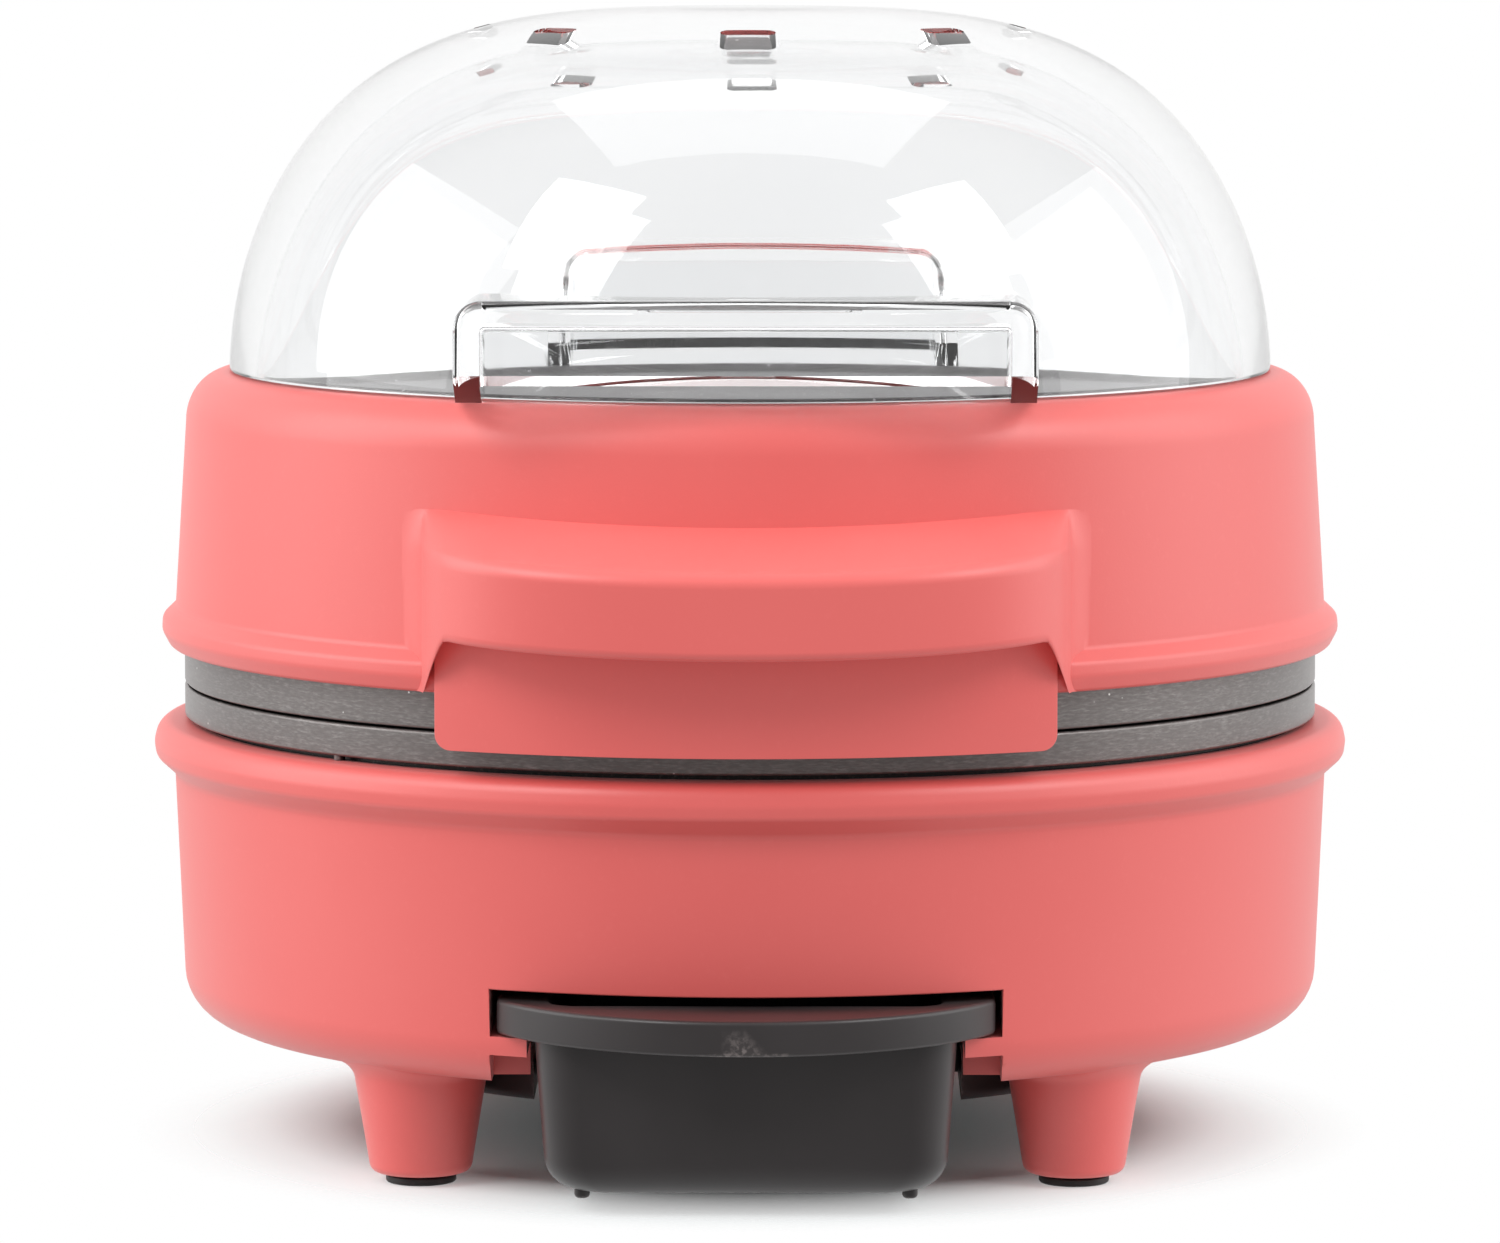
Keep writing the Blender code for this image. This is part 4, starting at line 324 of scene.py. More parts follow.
def coralPlastic():
    material, shader = newMaterial('coral plastic', Specular_IOR_Level=0.8, Sheen_Weight=0.12, Sheen_Roughness=0.45)
    place = objectPlace(material)
    cloud = noise(material, place, 22, 3)
    fleck = noise(material, place, 900, 2)
    edges = add(material, 'NewGeometry').outputs['Pointiness']
    # sharp convex edges are painted paler: a painted highlight along the edges
    paleEdges = mapRange(material, edges, 0.53, 0.60, 0, 0.35)
    tone = mixColour(material, mapRange(material, cloud, 0.35, 0.65, 0, 0.35), coral['colour'], coral['paler'])
    tone = mixColour(material, mapRange(material, fleck, 0.6, 0.8, 0, 0.25), tone, coral['paler'])
    tone = mixColour(material, paleEdges, tone, coral['paler'])
    link(material, tone, shader.inputs['Base Color'])
    wear = maths(material, 'ADD', mapRange(material, cloud, 0.3, 0.7, -0.03, 0.03), coral['roughness'])
    link(material, wear, shader.inputs['Roughness'])
    warp = add(material, 'TexNoise', {'Vector': place}, Scale=700, Detail=1).outputs['Color']
    bent = add(material, 'VectorMath', {0: place}, operation='ADD')
    shiftNode = add(material, 'VectorMath', {0: warp}, operation='SCALE', Scale=coral['grain'] * mm)
    link(material, shiftNode.outputs[0], bent.inputs[1])
    pebbles = add(material, 'TexVoronoi', {'Vector': bent.outputs[0]}, feature='SMOOTH_F1',
                  Scale=1 / (coral['grain'] * mm), Smoothness=0.6).outputs['Distance']
    fine = noise(material, place, 2.2 / (coral['grain'] * mm), 2)
    height = maths(material, 'ADD', maths(material, 'MULTIPLY', pebbles, -0.7), maths(material, 'MULTIPLY', fine, 0.6))
    bump(material, shader, height, 0.55, coral['grainDepth'])
    return material


darkTray = {
    'colour': (0.030, 0.0255, 0.026),
    'paleEdges': (0.20, 0.17, 0.165),
    'roughness': 0.36,
    'grain': 0.22,
}


def darkPlastic(name='dark tray plastic', glow=1.0):
    material, shader = newMaterial(name, Specular_IOR_Level=0.5)
    place = objectPlace(material)
    cloud = noise(material, place, 60, 3)
    edges = add(material, 'NewGeometry').outputs['Pointiness']
    scuff = noise(material, place, 1600, 3)
    paleEdges = maths(material, 'MULTIPLY', mapRange(material, edges, 0.54, 0.62, 0, 0.8),
                 mapRange(material, scuff, 0.45, 0.62, 0.15, 1))
    tone = mixColour(material, mapRange(material, cloud, 0.3, 0.7, 0, 1), darkTray['colour'],
                     tuple(channel * 1.25 * glow for channel in darkTray['colour']))
    link(material, mixColour(material, paleEdges, tone, darkTray['paleEdges']), shader.inputs['Base Color'])
    link(material, mapRange(material, cloud, 0.3, 0.7, darkTray['roughness'] - 0.05, darkTray['roughness'] + 0.06),
         shader.inputs['Roughness'])
    grain = noise(material, place, 1 / (darkTray['grain'] * mm), 2)
    bump(material, shader, grain, 0.35, 0.012)
    return material


plateCoat = {
    'rim': (0.165, 0.150, 0.145),
    'face': (0.034, 0.031, 0.030),
    'streak': (0.30, 0.285, 0.275),
    'speck': (0.85, 0.84, 0.82),
    'rimRadius': 68.6,
}


def castPlate():
    # bare brushed rim outside, dark coat with fine specks on the cooking face
    material, shader = newMaterial('coated cast plate', Metallic=0.55)
    place = objectPlace(material)
    wrapped, radius, height = aroundAxis(material, place)
    rim = mapRange(material, radius, plateCoat['rimRadius'] * mm, (plateCoat['rimRadius'] + 0.2) * mm, 0, 1)
    brushed = noise(material, stretched(material, wrapped, 0.055, 1, 4.2), 1000, 4, 0.65)
    long = noise(material, stretched(material, wrapped, 0.02, 1, 2.2), 1000, 2, 0.6)
    streaks = maths(material, 'MULTIPLY', mapRange(material, brushed, 0.42, 0.68, 0, 1),
                    mapRange(material, long, 0.35, 0.7, 0.25, 1))
    specks = add(material, 'TexVoronoi', {'Vector': place}, Scale=620)
    spark = mapRange(material, specks.outputs['Distance'], 0.10, 0.05, 0, 1)
    chance = add(material, 'SeparateColor', {'Color': specks.outputs['Color']})
    spark = maths(material, 'MULTIPLY', spark, mapRange(material, chance.outputs[0], 0.80, 0.86, 0, 1))
    coat = mixColour(material, mapRange(material, noise(material, place, 2500, 2), 0.55, 0.75, 0, 0.35),
                     plateCoat['face'], plateCoat['rim'])
    metal = mixColour(material, streaks, plateCoat['rim'], plateCoat['streak'])
    tone = mixColour(material, rim, coat, metal)
    link(material, mixColour(material, spark, tone, plateCoat['speck']), shader.inputs['Base Color'])
    rough = maths(material, 'ADD', mapRange(material, rim, 0, 1, 0.40, 0.34), mapRange(material, brushed, 0.3, 0.7, -0.06, 0.06))
    link(material, rough, shader.inputs['Roughness'])
    relief = maths(material, 'ADD', maths(material, 'MULTIPLY', brushed, rim), maths(material, 'MULTIPLY', noise(material, place, 1800, 2), 0.5))
    bump(material, shader, relief, 0.30, 0.02)
    return material


def warmerCoat():
    material, shader = newMaterial('warming plate coat', Metallic=0.5)
    place = objectPlace(material)
    brushed = noise(material, stretched(material, place, 0.05, 3, 1), 900, 4, 0.65)
    specks = add(material, 'TexVoronoi', {'Vector': place}, Scale=900)
    spark = mapRange(material, specks.outputs['Distance'], 0.22, 0.10, 0, 1)
    chance = add(material, 'SeparateColor', {'Color': specks.outputs['Color']})
    spark = maths(material, 'MULTIPLY', spark, mapRange(material, chance.outputs[0], 0.72, 0.80, 0, 0.8))
    tone = mixColour(material, mapRange(material, brushed, 0.35, 0.7, 0, 1), (0.075, 0.068, 0.070), (0.21, 0.20, 0.20))
    link(material, mixColour(material, spark, tone, (0.72, 0.70, 0.72)), shader.inputs['Base Color'])
    link(material, mapRange(material, brushed, 0.3, 0.7, 0.30, 0.46), shader.inputs['Roughness'])
    bump(material, shader, brushed, 0.3, 0.02)
    return material


def clearPlastic():
    material, shader = newMaterial('clear dome plastic', Transmission_Weight=1.0, IOR=1.49, Roughness=0.0)
    place = objectPlace(material)
    cloud = noise(material, place, 40, 2)
    tone = mixColour(material, mapRange(material, cloud, 0.3, 0.7, 0, 1), (0.975, 0.980, 0.985), (0.985, 0.988, 0.99))
    link(material, tone, shader.inputs['Base Color'])
    haze = noise(material, place, 300, 4)
    link(material, mapRange(material, haze, 0.4, 0.8, 0.0, 0.05), shader.inputs['Roughness'])
    bump(material, shader, noise(material, place, 60, 1), 0.06, 0.05)
    return material


def blackRubber():
    material, shader = newMaterial('black rubber', Roughness=0.6)
    place = objectPlace(material)
    dust = noise(material, place, 500, 4)
    link(material, mixColour(material, mapRange(material, dust, 0.5, 0.75, 0, 0.6), (0.016, 0.014, 0.014), (0.055, 0.05, 0.05)),
         shader.inputs['Base Color'])
    link(material, mapRange(material, dust, 0.3, 0.7, 0.5, 0.7), shader.inputs['Roughness'])
    bump(material, shader, noise(material, place, 2600, 2), 0.3, 0.015)
    return material


def metalFinish(name, dark, bright, roughness, x, y, z, scale=900, metallic=1.0):
    # brushed or rolled metal, with its grain drawn out along one direction
    material, shader = newMaterial(name, Metallic=metallic)
    place = objectPlace(material)
    grain = noise(material, stretched(material, place, x, y, z), scale, 4, 0.6)
    stain = noise(material, place, 70, 3)
    tone = mixColour(material, mapRange(material, grain, 0.3, 0.7, 0, 1), dark, bright)
    link(material, mixColour(material, mapRange(material, stain, 0.55, 0.8, 0, 0.5), tone, dark), shader.inputs['Base Color'])
    link(material, mapRange(material, grain, 0.3, 0.7, roughness - 0.06, roughness + 0.08), shader.inputs['Roughness'])
    bump(material, shader, grain, 0.25, 0.012)
    return material


def glazedCeramic():
    material, shader = newMaterial('glazed ceramic', Roughness=0.2, Coat_Weight=0.3)
    place = objectPlace(material)
    cloud = noise(material, place, 180, 3)
    spot = noise(material, place, 1800, 2)
    tone = mixColour(material, mapRange(material, cloud, 0.3, 0.7, 0, 1), (0.74, 0.71, 0.64), (0.84, 0.82, 0.76))
    link(material, mixColour(material, mapRange(material, spot, 0.66, 0.78, 0, 0.5), tone, (0.45, 0.41, 0.35)),
         shader.inputs['Base Color'])
    bump(material, shader, cloud, 0.15, 0.05)
    return material


def wireSleeve():
    # braided glass sleeve: two sets of fine crossing ribs
    material, shader = newMaterial('braided sleeve', Roughness=0.75)
    place = objectPlace(material)
    first = add(material, 'TexWave', {'Vector': place}, Scale=500, Distortion=1.0)
    second = add(material, 'TexWave', {'Vector': stretched(material, place, -1, 1, 1)}, Scale=500, Distortion=1.0)
    weave = maths(material, 'MAXIMUM', first.outputs['Fac'], second.outputs['Fac'])
    link(material, mixColour(material, weave, (0.48, 0.45, 0.38), (0.80, 0.78, 0.71)), shader.inputs['Base Color'])
    bump(material, shader, weave, 0.5, 0.06)
    return material


coralFinish = coralPlastic()
trayFinish = darkPlastic()
coverFinish = darkPlastic('dark cover plastic', 0.8)
plateFinish = castPlate()
warmerFinish = warmerCoat()
domeFinish = clearPlastic()
rubberFinish = blackRubber()
steelFinish = metalFinish('plated steel', (0.42, 0.42, 0.43), (0.62, 0.62, 0.63), 0.26, 1, 1, 0.2)
tinFinish = metalFinish('rolled bright sheet', (0.55, 0.55, 0.55), (0.74, 0.74, 0.74), 0.24, 0.08, 1, 1)
sheathFinish = metalFinish('element sheath', (0.10, 0.085, 0.075), (0.21, 0.185, 0.16), 0.45, 1, 1, 1, 500, 0.8)
ceramicFinish = glazedCeramic()
sleeveFinish = wireSleeve()
print('materials ready')


# Sizes that several pieces share

body = {
    'reach': 82.0,            # axis to the handle's front and to the hinge's rear
    'parting': 55.4,          # height where the plates meet, and of the hinge
    'plateRadius': 69.1,
    'hingeY': 76.8,
    'knuckle': 5.2,
    'pin': 2.65,              # hole round the hinge pin
}
postPlaces = [(55.0, angle) for angle in (60, 120, 208, 332)]
lidPostPlaces = [(55.0, angle) for angle in (30, 150, 270)]
coverScrewPlaces = [(44.2, angle) for angle in (90, 200, 340)]
warmerScrewPlaces = [(44.0, angle) for angle in (90, 210, 330)]


def onCircle(place):
    radius, angle = place
    return radius * cos(radians(angle)), radius * sin(radians(angle))


# Base shell with its bead, legs, tray bay and hinge ears

base = {
    'bottom': 14.3, 'top': 50.8, 'wall': 2.4, 'lowRadius': 69.05, 'highRadius': 70.35, 'fillet': 6.0,
    'beadRadius': 72.85, 'beadDepth': 6.2, 'opening': 39.9,
    'bore': 67.35, 'ledge': 65.05, 'ledgeTop': 49.1, 'ledgeDepth': 1.8,
    'earIn': 20.0, 'earOut': 28.0, 'armRoot': 44.0, 'armDrop': 1.5,
    'postRadius': 4.5, 'postTop': 32.55, 'bossRadius': 3.7, 'bossTop': 24.0,
    'screwHole': 1.8, 'headHole': 3.1, 'headSeat': 28.05,
}
legs = {
    'x': 38.5, 'y': 42.0, 'top': 8.0, 'foot': 5.85, 'footHeight': 1.2, 'edge': 1.2, 'flare': 1.8,
    'padRadius': 4.15, 'padThickness': 0.9, 'stem': 2.0, 'socket': 2.3, 'stemLength': 3.0,
}
bay = {
    'halfWidth': 29.5, 'slot': 25.2, 'top': 25.9, 'wall': 2.0, 'back': -19.0,
    'railTop': 20.4, 'rail': 2.2, 'throat': -52.0, 'edge': 1.3,
}


def legPlaces():
    for y, end in ((-legs['y'], 'front'), (legs['y'], 'rear')):
        for x, side in ((-legs['x'], 'left'), (legs['x'], 'right')):
            yield end + '_' + side, x, y


def followFillet(leg):
    # lifts the leg's flared root where the base's lower edge rounds up
    start = base['lowRadius'] - base['fillet']
    for vertex in leg.data.vertices:
        out = min(max(vertex.co.xy.length / mm - start, 0), base['fillet'] * 0.95)
        rise = base['fillet'] - sqrt(base['fillet'] ** 2 - out ** 2)
        share = min(max((vertex.co.z / mm - base['bottom'] + 3.5) / 3.0, 0), 1)
        vertex.co.z += rise * share * mm


def makeBaseShell():
    b = base
    foot, lip = b['bottom'] + b['wall'], b['top'] - b['beadDepth']
    shell = turned('base_shell', [
        (b['bore'], b['top'] - 0.1, 0), (b['bore'] + 0.4, b['top']), (b['beadRadius'] - 0.6, b['top'], 2.1),
        (b['beadRadius'], b['top'] - 2.6, 2.0), (b['beadRadius'] - 0.2, b['top'] - 4.1, 1.2),
        (b['highRadius'], lip, 1.6), (b['lowRadius'], b['bottom'], b['fillet']),
        (b['opening'], b['bottom'], 0.4), (b['opening'], foot, 0.4),
        (b['lowRadius'] - b['wall'], foot, b['fillet'] - b['wall']), (b['bore'], b['ledgeTop'] - 2 * b['ledgeDepth'] - 0.5),
        (b['ledge'], b['ledgeTop'] - b['ledgeDepth']), (b['ledge'], b['ledgeTop'], 0.2),
        (b['bore'], b['ledgeTop']), (b['bore'], b['top'] - 0.1)])
    legShape = turned('leg', [
        (0, b['bottom'] + 1.5), (legs['top'] + legs['flare'], b['bottom'] + 1.5),
        (legs['top'] + legs['flare'], b['bottom'] + 0.1), (legs['top'], b['bottom'] - 0.4, legs['flare'] * 1.2),
        (legs['foot'] + 0.05, legs['footHeight'], legs['edge']),
        (legs['socket'], legs['footHeight'], 0.2), (legs['socket'], legs['footHeight'] + legs['stemLength'] + 0.3),
        (0, legs['footHeight'] + legs['stemLength'] + 0.3)], smallSteps * 2)
    for name, x, y in legPlaces():
        leg = shift(copyOf(legShape, 'leg'), x, y)
        followFillet(leg)
        join(shell, leg)
    bpy.data.objects.remove(legShape)

    side = bay['halfWidth'] + bay['wall']
    limit = b['lowRadius'] - b['wall'] / 2
    bayBlock = block('bay', (-side, -limit, b['bottom'] + 0.3), (side, bay['back'] + bay['wall'], bay['top'] + bay['wall']))
    inset = b['wall'] / 2
    keep(bayBlock, turned('bay limit', [(0, b['top']), (limit, b['top']), (limit, b['bottom'] + inset, b['fillet'] - inset),
                                        (0, b['bottom'] + inset)]))
    join(shell, bayBlock)
    for place in postPlaces:
        join(shell, pillar('post', onCircle(place), b['postRadius'], foot - 1, b['postTop']))
    for place in coverScrewPlaces:
        join(shell, pillar('boss', onCircle(place), b['bossRadius'], foot - 1, b['bossTop']))

    # the two ears, softened before they are joined to the wall
    armTop = body['parting'] - b['armDrop']
    drop = body['parting'] - b['armRoot']
    start = 180 + degrees(acos(sqrt(1 - (b['armDrop'] / body['knuckle']) ** 2)))
    eye = [(body['hingeY'] + body['knuckle'] * cos(radians(a)), body['parting'] + body['knuckle'] * sin(radians(a)))
           for a in [start + (-45 - start) * k / 26 for k in range(27)]]
    outline = eye + [(b['beadRadius'] - drop / 2, b['armRoot'], 1.5), (b['highRadius'] - drop, b['armRoot']),
                     (b['highRadius'] - drop, armTop)]
    keepOut = pillar('wall line', (0, 0), b['highRadius'] - b['wall'] / 2, b['armRoot'] - cutRun, body['parting'], roundSteps)
    for sign in (-1, 1):
        low, high = sorted((sign * b['earIn'], sign * b['earOut']))
        ear = softenWhere(slab('ear', outline, 'YZ', low, high), 0.6, sharper=50)
        cut(ear, copyOf(keepOut, 'wall line'))
        join(shell, ear)
    bpy.data.objects.remove(keepOut)
    cut(shell, pillar('flange room', (0, 0), body['plateRadius'] + 0.6, b['top'] + 0.15, 70, roundSteps))

    # the bay is cut from the front: wide above the rails, narrow between them
    front = -body['reach']
    cut(shell, block('bay room', (-bay['halfWidth'], front, bay['railTop']), (bay['halfWidth'], bay['back'], bay['top'])),
        block('bay slot', (-bay['slot'], front, b['bottom'] - cutRun), (bay['slot'], bay['back'], bay['railTop'] + 0.3)),
        block('bay mouth', (-bay['halfWidth'], front, b['bottom'] - cutRun),
              (bay['halfWidth'], bay['throat'], bay['railTop'] - bay['rail'])))
    softenWhere(shell, bay['edge'], lambda p: p.y < -55 and abs(p.x) < bay['halfWidth'] + 0.5
                and p.z < bay['top'] + 0.5 and p.xy.length > b['lowRadius'] - 0.6
                and (abs(abs(p.x) - bay['halfWidth']) < 0.05 or abs(p.z - bay['top']) < 0.05), 4)
    cut(shell, pillar('chute hole', (0, -49.0), 5.5, bay['top'] - cutRun, bay['top'] + bay['wall'] + cutRun),
        turned('cord hole', [(0, 62), (5.3, 62), (5.3, 74), (0, 74)], smallSteps, (0, 0, 25.0), 'Y'))
    for place in postPlaces:
        cut(shell, pillar('screw hole', onCircle(place), b['screwHole'], b['bottom'] - cutRun, b['postTop'] + cutRun),
            pillar('head hole', onCircle(place), b['headHole'], b['bottom'] - cutRun, b['headSeat']))
    for place in coverScrewPlaces:
        cut(shell, pillar('cover hole', onCircle(place), b['screwHole'], b['bottom'] - cutRun, b['bossTop'] + cutRun))
    return shell


def pinTool(low, high):
    centre = (0, body['hingeY'], body['parting'])
    tool = turned('pin hole', [(0, 0), (body['pin'], 0), (body['pin'], high - low), (0, high - low)], smallSteps, (0, 0, 0), 'Z')
    pick(tool)
    edit(tool)
    bpy.ops.transform.rotate(value=pi / 2, orient_axis='Y', center_override=(0, 0, 0))
    done()
    lowest = min(v.co.x for v in tool.data.vertices) / mm
    return shift(tool, low - lowest, centre[1], centre[2])


baseShell = makeBaseShell()
cut(baseShell, pinTool(-26.0, -16.0), pinTool(16.0, 32.0))
finished(baseShell, coralFinish, 'base', 'coral_plastic', 'base_housing')
print('base shell done')


def makeFootPads():
    p = legs
    pad = turned('foot_pad', [
        (0, p['footHeight'] + p['stemLength']), (p['stem'], p['footHeight'] + p['stemLength'], 0.3),
        (p['stem'], p['padThickness']), (p['padRadius'], p['padThickness'], 0.2), (p['padRadius'], 0, 0.35), (0, 0)],
        smallSteps)
    for name, x, y in legPlaces():
        piece = shift(copyOf(pad, 'pad_' + name), x, y)
        finished(piece, rubberFinish, 'base', 'black_rubber', 'foot_pad_' + name)
    bpy.data.objects.remove(pad)


makeFootPads()


# Cooking plates

plates = {
    'cavity': 58.5, 'draft': 1.8, 'depth': 11.8, 'wall': 3.0, 'gap': 0.15,
    'lowerFlange': 3.85, 'upperFlange': 5.2, 'spigot': 67.05, 'spigotDepth': 2.0,
    'ridges': 7, 'pitch': 13.0, 'ridgeWidth': 2.4, 'ridgeHeight': 1.1, 'ridgeSpace': 4.0,
    'drain': 3.0, 'drainY': -49.0,
    'bossRadius': 4.0, 'bossEnd': 6.5,
    'lugAngle': 226.0, 'lugWidth': 1.3, 'lugDepth': 0.55,
}


def addRidges(plate, floor, way):
    p = plates
    limit = p['cavity'] - p['draft'] - p['ridgeSpace']
    for index in range(p['ridges']):
        x = (index - (p['ridges'] - 1) / 2) * p['pitch']
        half = sqrt(limit * limit - x * x)
        low, high = sorted((floor - way * p['wall'] / 2, floor + way * p['ridgeHeight']))
        outline = [(x - p['ridgeWidth'] / 2, -half, 1.1), (x + p['ridgeWidth'] / 2, -half, 1.1),
                   (x + p['ridgeWidth'] / 2, half, 1.1), (x - p['ridgeWidth'] / 2, half, 1.1)]
        ridge = slab('ridge', outline, 'XY', low, high)
        softenWhere(ridge, 0.5, lambda spot: abs(spot.z - (floor + way * p['ridgeHeight'])) < 0.01)
        join(plate, ridge)


def makePlate(name, way):
    # way is 1 for the lower plate, whose pan opens upwards, and -1 for the upper one
    p = plates
    face = body['parting'] - way * p['gap']
    flange = face - way * (p['lowerFlange'] if way > 0 else p['upperFlange'])
    back = face - way * (p['depth'] + p['wall'])
    floor = back + way * p['wall']
    bodyRadius = p['cavity'] + p['wall']
    corners = [(0, floor), (p['cavity'] - p['draft'], floor, 2.2), (p['cavity'], face, 0.9),
               (body['plateRadius'], face, 0.35), (body['plateRadius'], flange, 0.3)]
    if way > 0:
        corners += [(p['spigot'], flange), (p['spigot'], flange - p['spigotDepth']), (bodyRadius, flange - p['spigotDepth'], 0.5)]
    else:
        corners += [(bodyRadius, flange, 0.5)]
    corners += [(bodyRadius, back, 2.0), (0, back)]
    plate = turned(name, corners)
    addRidges(plate, floor, way)
    places = postPlaces if way > 0 else lidPostPlaces
    for place in places:
        low, high = sorted((back - way * p['bossEnd'], back + way))
        join(plate, pillar('boss', onCircle(place), p['bossRadius'], low, high))
        low, high = sorted((back - way * (p['bossEnd'] + 2), back - way * (p['bossEnd'] - 4.3)))
        cut(plate, pillar('thread', onCircle(place), 1.8, low, high, 24))
    if way > 0:
        drain = turned('drain', [(0, back - 2), (p['drain'], back - 2), (p['drain'], floor - 0.8), (p['drain'] + 0.9, floor + 0.1),
                                 (p['drain'] + 0.9, floor + 2), (0, floor + 2)], smallSteps, (0, p['drainY'], 0))
        cut(plate, drain)
        x, y = onCircle((body['plateRadius'] - 0.8, p['lugAngle']))
        join(plate, pillar('lug', (x, y), p['lugWidth'] / 2, flange - p['lugDepth'], flange + 1, 20))
    return plate


lowerPlate = makePlate('lower_plate_fine', 1)
finished(lowerPlate, plateFinish, 'base', 'coated_cast_plate', 'lower_plate')
upperPlate = makePlate('upper_plate_fine', -1)
finished(upperPlate, plateFinish, 'lid', 'coated_cast_plate', 'upper_plate')
print('plates done')


# Lid shell with its bead, handle, skirt and hinge knuckle

lid = {
    'bottom': 60.0, 'beadMiddle': 61.9, 'beadTop': 64.9, 'beadRadius': 71.83,
    'lowRadius': 70.1, 'highRadius': 68.75, 'shoulder': 87.2, 'seatRadius': 63.75, 'seat': 93.2,
    'wall': 2.5, 'deckTop': 89.6, 'deck': 2.2, 'deckHole': 35.0,
    'recess': 59.72, 'rebate': 69.4, 'flangeTop': 61.05,
    'knuckleEnd': 19.7, 'armTop': 68.0, 'postLow': 78.25, 'headSeat': 82.75,
}
handle = {
    'halfWidth': 37.1, 'root': 58.0, 'bow': 2.5, 'crest': 79.7, 'slope': 0.345, 'brow': 2.0,
    'lip': 65.7, 'lipEdge': 1.1, 'crestFillet': 1.2, 'sideFillet': 3.0, 'stations': 40,
    'arch': 0.9, 'archAt': 30.0,                 # how far the ends rise above the middle
    'webFrom': 34.2, 'webTo': 37.0, 'webLow': 60.1,   # where the ends reach down to the lid's edge
}
skirt = {
    'radius': 74.2, 'thickness': 2.9, 'bottom': 53.9, 'halfWidth': 35.6, 'corner': 1.8, 'endRound': 1.3,
}


def wallRadius(z):
    share = (z - lid['beadTop']) / (lid['shoulder'] - lid['beadTop'])
    return lid['lowRadius'] + (lid['highRadius'] - lid['lowRadius']) * share


def makeHandleBody():
    # a grid whose rows run across the lid and whose columns run over the top, brow, front and lip
    h = handle
    wall = wallRadius(h['crest'])
    browTop = h['crest'] - h['slope'] * (body['reach'] - wall)
    path = rounded([
        (wall - 1.6, h['crest'] + 0.9), (wall + 0.1, h['crest'], h['crestFillet']),
        (body['reach'], browTop, h['brow']), (body['reach'], h['lip'], h['lipEdge']),
        (wall - 1.6, h['lip'])], turn=radians(6))
    fine = []
    for here, there in zip(path, path[1:]):
        parts = max(1, ceil(sqrt((there[0] - here[0]) ** 2 + (there[1] - here[1]) ** 2) / 1.2))
        fine += [(here[0] + (there[0] - here[0]) * k / parts, here[1] + (there[1] - here[1]) * k / parts) for k in range(parts)]
    path = fine + [path[-1]]

    def reachAt(x):
        share = max(0, 1 - (x / h['halfWidth']) ** h['bow']) ** (1 / h['bow'])
        return h['root'] + (body['reach'] - h['root']) * share - sqrt(wall * wall - x * x)

    def rowHeight(x, z):
        # the handle arches up towards its ends, and there its side runs down to the lid's edge
        lift = h['arch'] * min(abs(x) / h['archAt'], 1.15) ** 2
        front = browTop - h['brow']
        if z >= front:
            return z + lift
        share = min(max((abs(x) - h['webFrom']) / (h['webTo'] - h['webFrom']), 0), 1) ** 1.3
        low = h['lip'] + lift * (1 - share) + (h['webLow'] - h['lip']) * share
        return front + lift + (z - front) * (front + lift - low) / (front - h['lip'])

    fillet = h['sideFillet']
    ways = []
    for k in range(h['stations'] + 1):
        x = h['halfWidth'] * sin(pi / 2 * k / h['stations']) ** (2 / h['bow'])
        if reachAt(x) > fillet:
            ways.append((x, reachAt(x)))
    edge = h['halfWidth'] - 0.02
    last = radians(82)
    for k in range(0, 11):
        angle = last * k / 10
        ways.append((edge + fillet * (1 - cos(angle)), fillet * (1 - sin(angle))))
    x, reach = ways[-1]
    ways.append((x + 2.0 * sin(last), reach - 2.0 * cos(last)))
    ways = [(-x, reach) for x, reach in ways[:0:-1]] + ways
    full = reachAt(0)

    pick()
    bpy.ops.mesh.primitive_grid_add(x_subdivisions=len(path) - 1, y_subdivisions=len(ways) - 1, size=1)
    piece = bpy.context.object
    piece.name = 'handle'
    columns = len(path)
    for vertex in piece.data.vertices:
        column, row = vertex.index % columns, vertex.index // columns
        forward, z = path[column]
        x, reach = ways[row]
        z = rowHeight(x, z)
        here = wallRadius(max(z, lid['beadTop']))
        onWall = sqrt(here * here - x * x)
        inside = forward - here
        if inside > 0:
            forward = onWall + inside * reach / full if reach > 0 else onWall + reach
        else:
            forward = onWall + inside + min(reach, 0)
        vertex.co = Vector((x, -forward, z)) * mm
    edit(piece)
    bpy.ops.mesh.select_all(action='DESELECT')
    bpy.ops.mesh.select_mode(type='EDGE')
    bpy.ops.mesh.select_non_manifold(extend=False)
    bpy.ops.mesh.extrude_region_move(TRANSFORM_OT_translate={'value': (0, 6 * mm, 0)})
    bpy.ops.mesh.edge_face_add()
    bpy.ops.mesh.select_all(action='SELECT')
    bpy.ops.mesh.quads_convert_to_tris()
    bpy.ops.mesh.normals_make_consistent(inside=False)
    done()
    return piece


def lidHollow():
    low, high = lid['lowRadius'] - lid['wall'], lid['highRadius'] - lid['wall']
    return turned('lid hollow', [
        (0, lid['shoulder'] - 0.3), (high, lid['shoulder'] - 0.3), (low, lid['flangeTop']),
        (lid['rebate'], lid['flangeTop']), (lid['rebate'], lid['bottom'] - 8), (0, lid['bottom'] - 8)])


